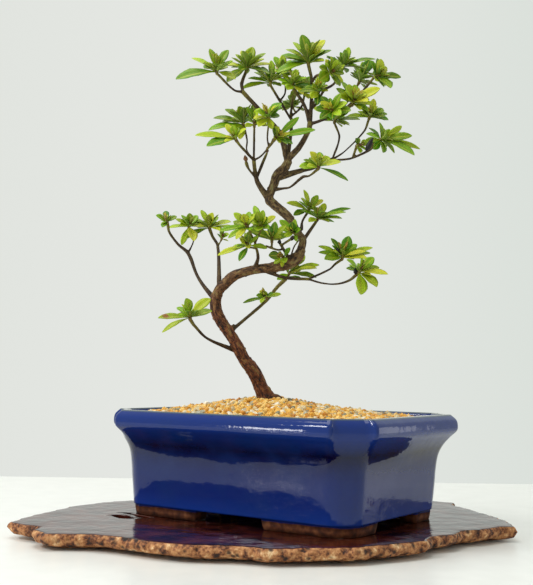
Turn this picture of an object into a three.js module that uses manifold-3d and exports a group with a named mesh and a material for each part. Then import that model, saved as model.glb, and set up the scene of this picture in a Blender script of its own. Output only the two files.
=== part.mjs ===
// A satsuki azalea bonsai in its glazed rectangular pot, standing on a polished burl slab.
// Millimetres, +Z up. The origin lies on the floor under the middle of the pot, X along the pot's length.
import * as THREE from 'three';
import { mergeVertices } from 'three/addons/utils/BufferGeometryUtils.js';
import Module from 'manifold-3d';

const wasm = await Module();
wasm.setup();

// Driving sizes.
const GAP = 0.3; // between pieces that rest on each other
const SLAB_TOP = 9.5; // the slab's polished face above the floor
const SLAB_EDGE = 6.5; // thickness of its rim
const POT_LENGTH = 203; // over the lip
const POT_WIDTH = 150;
const POT_HEIGHT = 68;
const CORNER = 19.4; // the lip's corner cut, along each side
const CORNER_STEP = 3.2; // how far the corner's flat face is set back
const FOOT_HEIGHT = 6.6;
const FOOT_BAND = 12; // width of the ring that the feet are cut from
const FOOT_OPENING = 50; // length of the openings between the feet
const WALL_FLOOR = 12.5; // the pot's inner floor above its feet
const DRAIN_RADIUS = 6;
const DRAIN_SPACING = 92;
const MESH_SIDE = 24; // the plastic squares over the drain holes
const MESH_THICK = 0.8;
const CLIP_RADIUS = 0.6; // wire that holds each square down
const SOIL_TOP = 60; // above the feet, where the gravel layer begins
const TREE_TURN = 35; // degrees from the pot's length to the line across the tree's best side
const PEBBLE = 10; // the gravel's relief, larger than life

const potBase = SLAB_TOP + GAP;

// A closed body through rings of points, each with as many points as the last. A ring of one point is a tip.
function skin(rings) {
  const positions = [];
  const triangles = [];
  const starts = [];
  for (const ring of rings) {
    starts.push(positions.length / 3);
    for (const p of ring) positions.push(p.x, p.y, p.z);
  }
  const cap = (ring, start, turned) => {
    if (ring.length < 3) return;
    const middle = ring.reduce((sum, p) => sum.add(p), new THREE.Vector3()).divideScalar(ring.length);
    const centre = positions.length / 3;
    positions.push(middle.x, middle.y, middle.z);
    ring.forEach((p, i) => {
      const a = start + i;
      const b = start + (i + 1) % ring.length;
      triangles.push(...(turned ? [centre, b, a] : [centre, a, b]));
    });
  };
  for (let k = 0; k + 1 < rings.length; k += 1) {
    const sides = Math.max(rings[k].length, rings[k + 1].length);
    const low = (i) => starts[k] + (rings[k].length === 1 ? 0 : i % sides);
    const high = (i) => starts[k + 1] + (rings[k + 1].length === 1 ? 0 : i % sides);
    for (let i = 0; i < sides; i += 1) {
      if (rings[k].length > 1) triangles.push(low(i), low(i + 1), high(i + 1));
      if (rings[k + 1].length > 1) triangles.push(low(i), high(i + 1), high(i));
    }
  }
  cap(rings[0], starts[0], true);
  cap(rings.at(-1), starts.at(-1), false);
  return facingOut(positions, triangles);
}

// An indexed geometry whose faces point out, whichever way round its rings were drawn.
function facingOut(positions, triangles) {
  const corner = (n) => new THREE.Vector3().fromArray(positions, 3 * triangles[n]);
  let volume = 0;
  for (let n = 0; n < triangles.length; n += 3) {
    volume += corner(n).dot(corner(n + 1).cross(corner(n + 2)));
  }
  if (volume < 0) triangles.reverse();
  const geometry = new THREE.BufferGeometry();
  geometry.setAttribute('position', new THREE.Float32BufferAttribute(positions, 3));
  geometry.setIndex(triangles);
  return geometry;
}

function solid(geometry) {
  const bare = geometry.clone();
  bare.deleteAttribute('normal');
  bare.deleteAttribute('uv');
  const merged = mergeVertices(bare, 1e-4);
  const vertProperties = new Float32Array(merged.attributes.position.array);
  const triVerts = new Uint32Array(merged.index.array);
  return new wasm.Manifold(new wasm.Mesh({ numProp: 3, vertProperties, triVerts }));
}

function joined(geometries) {
  return geometries.map(solid).reduce((sum, part) => sum.add(part));
}

function geometryOf(body) {
  const mesh = body.getMesh();
  const positions = [];
  for (let v = 0; v < mesh.numVert; v += 1) {
    for (let c = 0; c < 3; c += 1) positions.push(mesh.vertProperties[v * mesh.numProp + c]);
  }
  const geometry = new THREE.BufferGeometry();
  geometry.setAttribute('position', new THREE.Float32BufferAttribute(positions, 3));
  geometry.setIndex([...mesh.triVerts]);
  return geometry;
}

function piece(name, geometry, color, roughness) {
  const flat = geometry.index ? geometry.toNonIndexed() : geometry;
  flat.computeVertexNormals();
  const material = new THREE.MeshStandardMaterial({ color, roughness, metalness: 0, flatShading: true });
  const mesh = new THREE.Mesh(flat, material);
  mesh.name = name;
  return mesh;
}

function boxAt(width, depth, height, x, y, z) {
  return new THREE.BoxGeometry(width, depth, height).translate(x, y, z);
}

const bonsai = new THREE.Group();
const pot = new THREE.Group();
pot.position.z = potBase;
const tree = new THREE.Group();
tree.position.z = SLAB_TOP;
tree.rotation.z = THREE.MathUtils.degToRad(TREE_TURN);
bonsai.add(pot, tree);

// The pot. Its plan is a rectangle whose corners are cut off, with the cut faces set back between two small
// slanted steps. Every level of the pot is this outline drawn in from the lip by an inset.
function potOutline(inset, z) {
  const halfLength = POT_LENGTH / 2 - inset;
  const halfWidth = POT_WIDTH / 2 - inset;
  const cut = CORNER - inset * (2 - Math.SQRT2);
  const step = Math.min(CORNER_STEP, cut / 5);
  const along = step * Math.SQRT1_2;
  const corner = [
    [halfLength, halfWidth - cut],
    [halfLength - 2 * along, halfWidth - cut],
    [halfLength - cut, halfWidth - 2 * along],
    [halfLength - cut, halfWidth],
  ];
  const mirrored = [...corner].reverse();
  return [
    ...corner,
    ...mirrored.map(([x, y]) => [-x, y]),
    ...corner.map(([x, y]) => [-x, -y]),
    ...mirrored.map(([x, y]) => [x, -y]),
  ].map(([x, y]) => new THREE.Vector3(x, y, z));
}

// The wall's outside from the glaze line up over the rounded lip, then its inside down to the floor.
const outside = [
  [14.8, FOOT_HEIGHT], [14.2, 11], [13.7, 20], [13, 31], [11.4, 40], [8.6, 47], [4.2, 53.5],
  [0.6, 57.5], [0, 60.5], [0.8, 64.5], [4.3, POT_HEIGHT],
];
const inside = [[9, POT_HEIGHT], [11, 60], [18, 44], [21, WALL_FLOOR]];

function innerInset(z) {
  const k = Math.max(1, inside.findIndex(([, level]) => level <= z));
  const [insetHigh, levelHigh] = inside[k - 1];
  const [insetLow, levelLow] = inside[k];
  return insetHigh + (insetLow - insetHigh) * (levelHigh - z) / (levelHigh - levelLow);
}

function potBody() {
  const levels = [...outside, ...inside].map(([inset, z]) => potOutline(inset, z));
  const walls = solid(skin(levels));
  const footOutline = (inset) => [potOutline(inset + 1, 0), potOutline(inset, FOOT_HEIGHT + 1)];
  const footRing = solid(skin(footOutline(15.8))).subtract(
    solid(boxAt(
      POT_LENGTH - 2 * (16 + FOOT_BAND), POT_WIDTH - 2 * (16 + FOOT_BAND), 40, 0, 0, 0,
    )),
  );
  const across = solid(boxAt(FOOT_OPENING, POT_WIDTH, 2 * FOOT_HEIGHT, 0, 0, 0));
  const along = solid(boxAt(POT_LENGTH, FOOT_OPENING, 2 * FOOT_HEIGHT, 0, 0, 0));
  const feet = footRing.subtract(across).subtract(along);
  const drain = (x) => solid(
    new THREE.CylinderGeometry(DRAIN_RADIUS, DRAIN_RADIUS, 40, 16).rotateX(Math.PI / 2).translate(x, 0, 0),
  );
  return walls.add(feet).subtract(drain(-DRAIN_SPACING / 2)).subtract(drain(DRAIN_SPACING / 2));
}
pot.add(piece('pot', geometryOf(potBody()), 0x0b2fa8, 0.15));

// A square of plastic mesh over each drain hole, held down by a wire clip whose legs pass through it and
// bend out under the pot's floor.
function drainMesh(x) {
  const openings = 5;
  const pitch = MESH_SIDE / openings;
  const z = WALL_FLOOR + GAP + MESH_THICK / 2;
  let plate = solid(boxAt(MESH_SIDE, MESH_SIDE, MESH_THICK, x, 0, z));
  for (let i = 0; i < openings; i += 1) {
    for (let j = 0; j < openings; j += 1) {
      const cx = x + (i - (openings - 1) / 2) * pitch;
      const cy = (j - (openings - 1) / 2) * pitch;
      plate = plate.subtract(solid(boxAt(0.66 * pitch, 0.66 * pitch, 4 * MESH_THICK, cx, cy, z)));
    }
  }
  return plate;
}

function meshClip(x) {
  const leg = MESH_SIDE / 5;
  const under = FOOT_HEIGHT - GAP - CLIP_RADIUS;
  const over = WALL_FLOOR + 2 * GAP + MESH_THICK + CLIP_RADIUS;
  const route = [
    [-2 * leg, under], [-leg, under], [-leg, over], [leg, over], [leg, under], [2 * leg, under],
  ];
  const steps = route.map(([dx, z]) => new THREE.Vector3(x + dx, 0, z));
  return tube(steps.map((p) => ({ p, r: CLIP_RADIUS })), 6);
}

// A round bar along a list of places { p, r }, mitred at each bend.
function tube(places, sides, tipped = false) {
  const directions = places.map(({ p }, i) => {
    const ahead = places[Math.min(i + 1, places.length - 1)].p.clone().sub(p).normalize();
    const behind = p.clone().sub(places[Math.max(i - 1, 0)].p).normalize();
    return ahead.add(behind).normalize();
  });
  let across = new THREE.Vector3(0, 1, 0);
  const rings = places.map(({ p, r }, i) => {
    const along = directions[i];
    across.addScaledVector(along, -across.dot(along));
    if (across.length() < 0.3) across = new THREE.Vector3(1, 0, 0).addScaledVector(along, -along.x);
    across.normalize();
    const up = new THREE.Vector3().crossVectors(along, across);
    const behind = places[Math.max(i - 1, 0)].p;
    const bend = i > 0 && i + 1 < places.length
      ? Math.max(0.6, along.dot(p.clone().sub(behind).normalize())) : 1;
    const ring = [];
    for (let k = 0; k < sides; k += 1) {
      const a = 2 * Math.PI * k / sides;
      const sideways = across.clone().multiplyScalar(r * Math.cos(a));
      ring.push(p.clone().add(sideways).addScaledVector(up, r * Math.sin(a) / bend));
    }
    return ring;
  });
  if (tipped) {
    const end = places.at(-1);
    rings.push([end.p.clone().addScaledVector(directions.at(-1), end.r)]);
  }
  return skin(rings);
}

for (const [side, x] of [['left', -DRAIN_SPACING / 2], ['right', DRAIN_SPACING / 2]]) {
  pot.add(piece(`drain_mesh_${side}`, geometryOf(drainMesh(x)), 0x23262a, 0.7));
  pot.add(piece(`mesh_clip_${side}`, meshClip(x), 0x9a7b52, 0.4));
}

// The tree. Its places are measured from the slab's top under the middle of the pot: across the tree's best
// side, away from its viewer, up, and the radius of the wood there.
const limbs = {
  trunk: [[-11, 9, 75, 5.2], [-14, 9, 82, 4.9], [-17, 9, 89, 4.9], [-21, 8, 96, 4.8],
    [-26, 8, 102, 4.2], [-30, 7, 109, 4.3], [-34, 7, 116, 4], [-38, 6, 122, 4], [-43, 5, 129, 4],
    [-46, 4, 136, 4], [-46, 3, 143, 3.8], [-44, 2, 149, 3.6], [-40, 1, 153, 3.6], [-35, -1, 158, 3.6],
    [-27, -3, 161, 3.2], [-18, -4, 163, 3.2], [-9, -5, 164, 3.5], [-2, -5, 166, 4.3],
    [3, -4, 168, 4.7], [9, -3, 172, 3.9], [11, -1, 178, 2.9], [12, 0, 184, 2.7], [8, 1, 189, 2.7],
    [5, 2, 195, 2.9], [1, 4, 201, 3.2], [-6, 5, 207, 3.4], [-11, 6, 212, 3.3], [-10, 7, 218, 2.9],
    [-8, 7, 223, 3.1], [-6, 7, 229, 3.3], [-1, 6, 234, 3.2], [2, 6, 239, 2.8]],
  base_knob: [[-14, 9, 82, 3.4], [-10, 7, 82, 3.3]],
  low_root: [[-12, 9, 75, 3.3], [-8, 7, 76, 3.1], [-4, 6, 77, 2.7], [3, 5, 72, 1.9]],
  low_left: [[-34, 7, 109, 1.8], [-51, -7, 116, 1], [-59, -18, 124, 1.2], [-61, -20, 127, 1.4]],
  low_right: [[-37, 6, 120, 2], [-33, 7, 124, 1.1], [-12, 11, 143, 0.9], [-5, 11, 152, 0.9],
    [1, 10, 158, 1]],
  left: [[-47, 3, 143, 2], [-54, 8, 151, 1.4], [-60, 14, 160, 1.2], [-67, 21, 176, 1.4],
    [-74, 20, 182, 1], [-80, 17, 190, 1], [-81, 15, 195, 1.2]],
  left_inner: [[-67, 21, 176, 1], [-64, 25, 184, 0.8], [-64, 27, 189, 0.8], [-67, 28, 194, 1.1]],
  left_back: [[-44, 2, 153, 1.8], [-47, 31, 183, 1.2], [-51, 36, 190, 1.2], [-53, 38, 195, 1.4]],
  left_back_spur: [[-47, 31, 182, 0.9], [-45, 31, 186, 0.8]],
  front: [[-20, -4, 164, 1.8], [-18, -12, 170, 1.2], [-20, -22, 178, 1]],
  front_left: [[-20, -22, 178, 0.9], [-24, -29, 186, 1]],
  front_up: [[-20, -22, 178, 0.9], [-16, -25, 187, 1]],
  front_spur: [[-19, -18, 175, 0.9], [-23, -24, 175, 0.9]],
  elbow: [[3, -5, 170, 1.4], [-4, -13, 180, 1.1]],
  elbow_stub: [[-3, -12, 178, 1], [4, -10, 183, 1.2]],
  elbow_left: [[-1, -10, 176, 0.9], [-5, -13, 175, 1], [-13, -17, 177, 1]],
  elbow_up: [[-9, -15, 176, 0.9], [-9, -16, 179, 1.1]],
  strut: [[4, -6, 172, 0.9], [6, -8, 178, 0.8], [10, -4, 184, 0.8]],
  right_low: [[12, 0, 183, 1.6], [22, 14, 199, 1.2]],
  right_back: [[11, 1, 191, 1.5], [12, 10, 198, 1], [16, 20, 206, 1.2]],
  sweep: [[-13, -5, 162, 1.8], [-6, -6, 159, 1.3], [2, -6, 157, 1.2], [17, -1, 157, 1.2]],
  sweep_up: [[16, -1, 157, 1.1], [31, 9, 165, 1], [35, 12, 169, 1.1], [39, 13, 172, 1.3]],
  sweep_down: [[16, -1, 157, 1.1], [25, -6, 154, 0.9], [34, -12, 153, 0.9], [42, -16, 155, 1.2],
    [47, -19, 159, 1.5]],
  left_high: [[-12, 6, 213, 2.4], [-19, 4, 223, 1.7], [-21, 2, 230, 1.5], [-22, 1, 238, 1.4]],
  left_high_bud: [[-20, 3, 226, 1.3], [-25, -1, 231, 1], [-27, -4, 235, 1.5], [-27, -4, 237, 0.7]],
  left_high_low: [[-22, 1, 238, 1.2], [-31, -11, 245, 1.2], [-33, -14, 247, 1.3]],
  left_high_back: [[-22, 1, 238, 1], [-27, 6, 246, 0.8], [-27, 11, 254, 0.9], [-29, 16, 264, 1.1]],
  left_high_mid: [[-22, 1, 238, 1.1], [-22, -1, 260, 1.1]],
  left_high_right: [[-22, 1, 238, 1.1], [-17, -4, 240, 0.9], [-11, -9, 246, 1.1], [-9, -10, 249, 1.5]],
  left_high_front: [[-12, -8, 245, 0.9], [-13, -12, 251, 0.9], [-12, -17, 261, 1]],
  left_high_spur: [[-20, 3, 226, 1.3], [-15, 7, 240, 1.3], [-13, 8, 245, 1]],
  right_thin: [[-9, 7, 219, 1.8], [-2, 2, 219, 1], [3, -4, 219, 0.9], [11, -14, 224, 1.2],
    [15, -18, 224, 0.8], [20, -24, 227, 1.2]],
  right_long: [[-4, 7, 228, 2.6], [12, 12, 234, 1.6], [19, 13, 236, 1.5], [25, 13, 239, 1.4],
    [33, 11, 242, 1.5]],
  right_long_back: [[32, 11, 241, 1.1], [38, 26, 261, 1], [35, 31, 272, 1.2]],
  right_long_up: [[33, 11, 242, 1.1], [41, 13, 248, 0.8], [55, 19, 264, 1], [58, 20, 272, 1.2]],
  right_long_end: [[32, 11, 241, 1.2], [43, 1, 240, 1], [49, -6, 241, 1.1], [56, -11, 244, 1.3],
    [58, -13, 247, 2.2], [61, -15, 249, 1.4]],
  right_long_spur: [[45, -2, 240, 1], [47, -9, 246, 1.3]],
  top_left: [[1, 6, 239, 2.2], [-4, 2, 256, 2], [-14, -3, 267, 1.5], [-30, -7, 283, 1.5]],
  top_left_far: [[-30, -7, 283, 1.3], [-36, -8, 284, 1], [-47, -10, 294, 1.2]],
  top_left_up: [[-30, -7, 283, 1.4], [-31, -3, 290, 1.5], [-28, 5, 302, 1.3]],
  top_mid: [[1, 6, 240, 1.8], [4, 18, 269, 1.2], [3, 20, 274, 1.2]],
  top_mid_left: [[3, 19, 272, 1.1], [-11, 12, 293, 1.3]],
  top_mid_up: [[-4, 15, 284, 1.1], [-1, 18, 290, 0.9], [-1, 21, 301, 1.2]],
  top_mid_stub: [[3, 20, 274, 1.1], [5, 24, 290, 1.3]],
  top_mid_back: [[3, 19, 273, 1.1], [11, 27, 283, 1], [13, 31, 292, 1.1]],
  top_mid_low: [[7, 23, 277, 0.9], [5, 28, 282, 1]],
  top_right: [[1, 6, 240, 2.4], [9, 2, 248, 2], [15, 0, 259, 1.8], [16, 0, 264, 1.9]],
  apex: [[16, 0, 263, 1.7], [17, 4, 283, 1.4], [17, 6, 296, 1.3], [15, 7, 306, 1.4]],
  apex_right: [[17, 6, 294, 1.2], [20, 0, 297, 1.4], [27, -9, 296, 1.4]],
  top_right_left: [[16, 0, 263, 1.6], [12, 2, 277, 1.4], [4, 2, 289, 1.3]],
  top_right_spur: [[17, 3, 276, 1.1], [21, -6, 283, 1.2]],
  top_right_up: [[17, 3, 275, 1.4], [21, 6, 280, 1.2], [26, 10, 290, 1.2], [33, 14, 296, 1.1],
    [39, 19, 308, 1.2]],
  top_right_out: [[17, 0, 264, 1.5], [20, -3, 264, 1.3], [32, -8, 268, 1.3], [43, -10, 274, 1.4]],
  top_right_back: [[33, -8, 270, 1.1], [41, 2, 279, 0.9], [50, 14, 296, 1.2]],
  top_right_far: [[38, -9, 271, 1.1], [47, -3, 281, 0.9], [51, -5, 285, 1.2], [59, 0, 296, 1.2]],
  low_right_side: [[-12, 11, 143, 0.9], [-12, 9, 144, 0.9]],
  trunk_high: [[10, 1, 187, 1.2], [7, -4, 187, 1]],
  trunk_low: [[2, -6, 169, 1.2], [0, -9, 170, 1]],
  top_right_out_mid: [[31, -8, 268, 1], [31, -10, 269, 0.9]],
};

// Each leafy shoot stands on the end of the limb of its name: where its head is, how many leaves the rule
// adds at its back, and its other leaves as steps from the head to their tips, with their widths.
const shoots = {
  low_left: { head: [-62, -21, 131], back: 2, tips: [[-20, -4, -3, 5.2], [-18, 5, -12, 4.2],
    [-2, -6, 10, 6.3], [13, 8, 11, 6.9], [15, -3, 2, 5.8], [-6, -9, -2, 4.2], [-9, 9, 5, 4.2]] },
  low_right: { head: [7, 9, 167], back: 1, tips: [[7, -1, 7, 4.2], [17, 2, 1, 4.2], [15, -5, -2, 4.2],
    [15, -1, -8, 5.2], [4, -8, -4, 4.2], [-12, -3, -10, 4.2]] },
  low_right_side: { head: [-13, 7, 146], back: 0, tips: [[-6, -1, 0, 3.4], [0, -4, 3, 3.2],
    [11, -2, 1, 3.4], [-15, 3, -5, 2.8]] },
  left: { head: [-82, 14, 198], back: 1, tips: [[-7, -2, 3, 4.2], [-1, 4, 7, 4.2], [-2, -6, -6, 4.2],
    [7, 2, 3, 4.2]] },
  left_inner: { head: [-67, 28, 197], back: 2, tips: [[0, -2, 8, 5.2], [-10, 0, 4, 4.2],
    [-7, -4, -1, 4.2], [-16, 4, -2, 4.2], [5, 8, 8, 4.2], [4, -11, -13, 6.9], [-5, -4, -15, 4.2]] },
  left_back: { head: [-54, 39, 198], back: 2, tips: [[-16, -9, -11, 6.3], [-12, -3, 0, 4.2],
    [-14, 4, 6, 4.2], [-6, 3, 12, 4.2], [3, -4, 9, 6.3], [6, 8, 8, 4.2], [16, -2, 3, 6.3],
    [11, -8, -5, 4.6], [22, 4, -1, 4.2]] },
  left_back_spur: { head: [-44, 31, 189], back: 0, tips: [[5, -2, 2, 4.2], [-1, -3, 6, 4.2]] },
  front_left: { head: [-26, -31, 189], back: 0, tips: [[-8, -2, 7, 4.8], [-2, -5, 6, 5.2],
    [2, 4, 9, 4.2], [-8, 4, 1, 4.2], [-17, -2, -5, 4.2], [-11, -6, -10, 4.2], [-6, -9, -11, 4.2]] },
  front_up: { head: [-17, -27, 190], back: 2, tips: [[-6, -6, 5, 5.8], [5, -3, 4, 5.8],
    [-2, -6, 7, 5.2], [2, -1, 9, 4.2], [-4, 6, 13, 4.2], [10, 4, 6, 4.2], [-2, -9, -6, 5.8],
    [6, -7, -4, 4.6]] },
  front_spur: { head: [-25, -26, 177], back: 0, tips: [[-5, -4, 3, 5.2], [1, -2, 6, 4.6],
    [-5, -6, -12, 4.2], [-19, -2, -8, 4.2], [13, 5, -2, 4.2]] },
  elbow_up: { head: [-9, -17, 182], back: 0, tips: [[2, -2, 11, 4.6], [-3, -5, 8, 4.6], [9, 3, 9, 4.2],
    [6, -7, 0, 4.6], [-15, -2, 5, 8.4], [-6, 6, 6, 4.2]] },
  trunk_high: { head: [5, -7, 188], back: 0, tips: [[-9, 1, 8, 4.6], [-1, -5, 6, 4.6], [5, -6, 1, 4.2],
    [-14, -3, -6, 4.6]] },
  trunk_low: { head: [-2, -12, 171], back: 0, tips: [[-9, -3, 0, 5.8], [2, -5, -5, 4.2]] },
  right_low: { head: [23, 15, 202], back: 0, tips: [[19, -3, 3, 4.4], [23, 5, 7, 4.2],
    [16, -7, -2, 4.6], [7, -10, -5, 4.6], [-7, -9, -5, 4.6], [5, 3, 10, 4.6], [-4, 4, 9, 4.2]] },
  right_back: { head: [17, 21, 209], back: 0, tips: [[-16, -2, 3, 6.9], [-4, 0, 13, 4.2],
    [-6, -6, 6, 4.6], [6, -1, 9, 4.6], [10, 6, 7, 4.2], [-11, -4, -6, 5.2]] },
  sweep_up: { head: [40, 12, 176], back: 2, tips: [[-8, 2, 11, 4.2], [-17, -1, 5, 4.2],
    [-17, -6, 0, 4.2], [-13, -9, -5, 6.9], [4, -3, 12, 6.9], [10, 2, 7, 5.2], [21, 3, 5, 4.2],
    [15, -7, 1, 4.2], [16, -9, -4, 5.8], [20, 9, 2, 4.2]] },
  sweep_down: { head: [49, -20, 162], back: 2, tips: [[0, -6, -17, 8.4], [10, -8, -12, 8.4],
    [18, -2, -3, 5.3], [13, 4, 2, 4.2], [9, 0, 8, 5.8], [0, -6, 7, 4.4], [-9, 2, 1, 4.2]] },
  left_high_low: { head: [-35, -16, 250], back: 1, tips: [[-26, -2, 0, 5.3], [-18, -6, -8, 7.5],
    [-6, 2, 9, 4.4], [-1, -4, 7, 4.4], [3, -1, 6, 4.2], [-9, 4, -2, 4.2]] },
  left_high_back: { head: [-31, 17, 270], back: 2, tips: [[-23, -5, -9, 6.9], [-20, 0, 1, 5.8],
    [-12, 2, 8, 5.3], [-2, -3, 9, 5.3], [4, 2, 10, 4.6], [-1, -5, -15, 5.3], [-6, -9, -10, 5.1]] },
  left_high_mid: { head: [-22, -2, 265], back: 0, tips: [[-5, -2, 8, 5.3], [-1, 3, 12, 4.6],
    [3, -7, 6, 5.3], [9, 2, -3, 5.8], [-6, -5, -6, 4.6]] },
  left_high_right: { head: [-7, -12, 251], back: 1, tips: [[15, 0, 14, 4.2], [26, -2, 5, 4.8],
    [6, -4, -4, 4.2], [2, -9, -6, 4.2]] },
  left_high_front: { head: [-13, -18, 264], back: 1, tips: [[9, -2, 8, 6.9], [-8, -4, 2, 6.4],
    [-6, -6, -9, 5.8], [3, -4, -10, 4.2], [8, 0, 0, 5.1]] },
  right_thin: { head: [21, -26, 230], back: 1, tips: [[-13, -1, -2, 6.4], [-6, -2, 8, 5.8],
    [14, -4, 1, 5.3], [7, 4, 6, 5.8], [19, -2, -11, 4.2], [1, 8, 10, 4.6], [-6, 7, 6, 4.6]] },
  right_long_back: { head: [36, 32, 276], back: 2, tips: [[9, -2, 5, 5.3], [17, -2, -1, 5.3],
    [6, -6, -6, 4.6], [-5, 4, 6, 4.6], [-9, 6, 0, 4.6], [4, 6, 11, 4.2]] },
  top_right_out_mid: { head: [30, -13, 270], back: 1, tips: [[-8, -1, 5, 4.2], [-11, -2, 0, 4.8],
    [-7, -5, -7, 4.2], [-1, 2, 7, 4.2], [2, -4, 6, 5.3], [8, -1, 5, 4.6]] },
  right_long_up: { head: [59, 19, 275], back: 2, tips: [[-10, -9, 6, 8.4], [6, -6, -3, 4.6],
    [12, -1, 1, 4.2], [3, 3, 13, 4.2], [10, 7, 7, 4.2], [-16, 3, 0, 4.2]] },
  right_long_end: { head: [64, -16, 250], back: 1, tips: [[19, -2, 2, 5.3], [13, 4, 10, 4.2],
    [25, 2, -6, 4.2], [20, -6, -12, 7.8], [-11, 2, 4, 4.2], [-9, 6, 9, 4.2], [-13, -4, -3, 4.2],
    [-1, -8, -11, 5.8], [-7, -4, -8, 4.6], [0, -2, 7, 4.2], [5, 2, 7, 4.2]] },
  right_long_spur: { head: [49, -11, 247], back: 1, tips: [[5, -1, 2, 4.2], [0, -2, -6, 4.2],
    [-3, -2, 4, 4.2]] },
  top_left_far: { head: [-48, -11, 298], back: 2, tips: [[-27, -3, -9, 8.4], [-17, 1, 7, 4.2],
    [-5, 2, 14, 4.2], [-1, -4, 9, 4.6], [8, -2, 12, 5.5], [13, -5, -9, 6.4], [-9, -7, 1, 4.2]] },
  top_left_up: { head: [-28, 6, 305], back: 1, tips: [[4, -2, 13, 6.4], [-1, -6, 9, 5.3],
    [-8, 2, 9, 4.2], [-4, 6, 13, 4.2], [13, 2, 10, 4.2], [12, -4, 4, 4.2], [17, 4, 3, 4.2],
    [16, -6, -7, 5.8], [-19, -2, 0, 5.8], [-13, -9, -14, 6.9], [-4, -12, -7, 6.9]] },
  top_mid_left: { head: [-11, 12, 298], back: 2, tips: [[-21, -2, -8, 5.3], [-16, -1, 0, 4.2],
    [-12, 4, 6, 4.2], [0, 2, 14, 4.2], [-7, -5, 7, 5.8], [7, -4, -6, 4.6]] },
  top_mid_up: { head: [-3, 22, 306], back: 2, tips: [[-6, 2, 12, 4.6], [0, -3, 12, 4.6],
    [6, 3, 10, 4.6], [-9, 5, 3, 4.6], [9, 3, 0, 5.1]] },
  top_right_left: { head: [4, 1, 293], back: 1, tips: [[12, -3, -5, 5.8], [-4, -8, -8, 5.8],
    [9, -6, 1, 4.2], [2, -3, 8, 4.6], [-8, -4, -3, 4.6], [7, -7, -11, 4.2]] },
  top_mid_back: { head: [13, 32, 297], back: 2, tips: [[-7, -2, 4, 4.6], [6, 4, 5, 4.6],
    [3, -4, -8, 4.6], [-3, -2, 8, 4.6], [4, 2, 10, 4.6]] },
  top_mid_low: { head: [4, 31, 286], back: 2, tips: [[-7, -2, 0, 5.3], [5, -3, -1, 5.3],
    [-1, 2, 7, 4.6], [-5, 4, -4, 4.6]] },
  apex: { head: [14, 7, 311], back: 2, tips: [[-4, -1, 17, 7.1], [12, -2, 13, 7.1], [4, 5, 14, 4.6],
    [-10, 6, 14, 4.2], [-15, 4, 8, 4.4], [-18, -4, 1, 5.5], [-21, -7, -12, 6.9], [9, -6, 4, 5.8],
    [11, -9, -4, 5.8], [17, 7, 9, 4.2]] },
  apex_right: { head: [30, -11, 297], back: 1, tips: [[-9, -6, -8, 7.6], [3, -6, -11, 5.8],
    [-9, -3, 2, 5.3], [-4, 2, 9, 5.3], [3, -4, 7, 4.6], [8, -1, -2, 4.6]] },
  top_right_up: { head: [40, 20, 312], back: 2, tips: [[1, -2, 10, 4.2], [4, 2, 13, 4.2],
    [-2, 1, 9, 4.2], [23, 3, 5, 4.2], [-12, 3, 6, 5.3], [-9, -5, -1, 4.6], [9, -6, -3, 5.8],
    [-5, -8, -9, 4.6], [14, -13, -7, 4.2]] },
  top_right_out: { head: [45, -12, 277], back: 0, tips: [[-5, -1, 10, 7.1], [-12, 3, 9, 5.3],
    [-12, -5, 2, 5.3], [8, -8, -3, 8.4], [17, -2, 8, 6], [13, 4, -1, 4.2], [-8, 7, 15, 4.2]] },
  top_right_back: { head: [52, 15, 301], back: 2, tips: [[6, 1, 13, 6], [1, -1, 11, 4.2],
    [9, 3, 13, 4.2], [5, -7, -5, 4.4], [-7, 4, 5, 4.2], [-4, 8, 11, 4.6]] },
  top_right_far: { head: [62, -1, 298], back: 2, tips: [[2, -1, 11, 6], [6, -2, 5, 4.2],
    [16, 1, -1, 4.8], [8, -7, -11, 8.4], [-2, 6, 11, 4.2]] },
  top_right_spur: { head: [21, -8, 285], back: 1, tips: [[-5, -4, -7, 5.5], [-4, -1, 3, 5.3],
    [4, -3, 1, 4.6], [-1, -5, -12, 4.2]] },
};

const vector = ([x, y, z]) => new THREE.Vector3(x, y, z);

// The base of the trunk flares into five surface roots and goes on down through the gravel. grow widens it,
// for the plain hole that it stands in.
const rootLevels = [[86, 4.8, 0.02], [80, 5, 0.04], [77, 5.3, 0.1], [72, 7.2, 0.35], [52, 7, 0.2]];
const ROOT_LEAN = 0.33; // mm across for each mm up, the trunk's lean above the gravel
const LEAN_START = 72;

function rootCrown(grow) {
  const base = limbs.trunk[0];
  const sides = 20;
  const ring = ([z, r, lobe]) => {
    const points = [];
    for (let k = 0; k < sides; k += 1) {
      const a = 2 * Math.PI * k / sides;
      const reach = r * (1 + lobe * Math.cos(5 * a - 0.9)) + grow;
      const x = base[0] - ROOT_LEAN * Math.max(0, z - LEAN_START);
      points.push(new THREE.Vector3(x + reach * Math.cos(a), base[1] + reach * Math.sin(a), z));
    }
    return points;
  };
  const levels = rootLevels.map(([z, r, lobe], i) => [
    z - (i === rootLevels.length - 1 ? grow : 0), r, lobe,
  ]);
  return skin(levels.map(ring));
}

const TRUNK_SIDES = 10;
const TWIG_SIDES = 4;
const STOUT = 2.5; // wood of this radius or more is drawn as round as the trunk

function woodBody() {
  const bars = Object.values(limbs).map((row) => {
    const places = row.map((place) => ({ p: vector(place), r: place[3] }));
    return tube(places, row[0][3] > STOUT ? TRUNK_SIDES : TWIG_SIDES);
  });
  return joined([rootCrown(0), ...bars]);
}
tree.add(piece('trunk_and_branches', geometryOf(woodBody()), 0x4a3226, 0.85));

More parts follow.
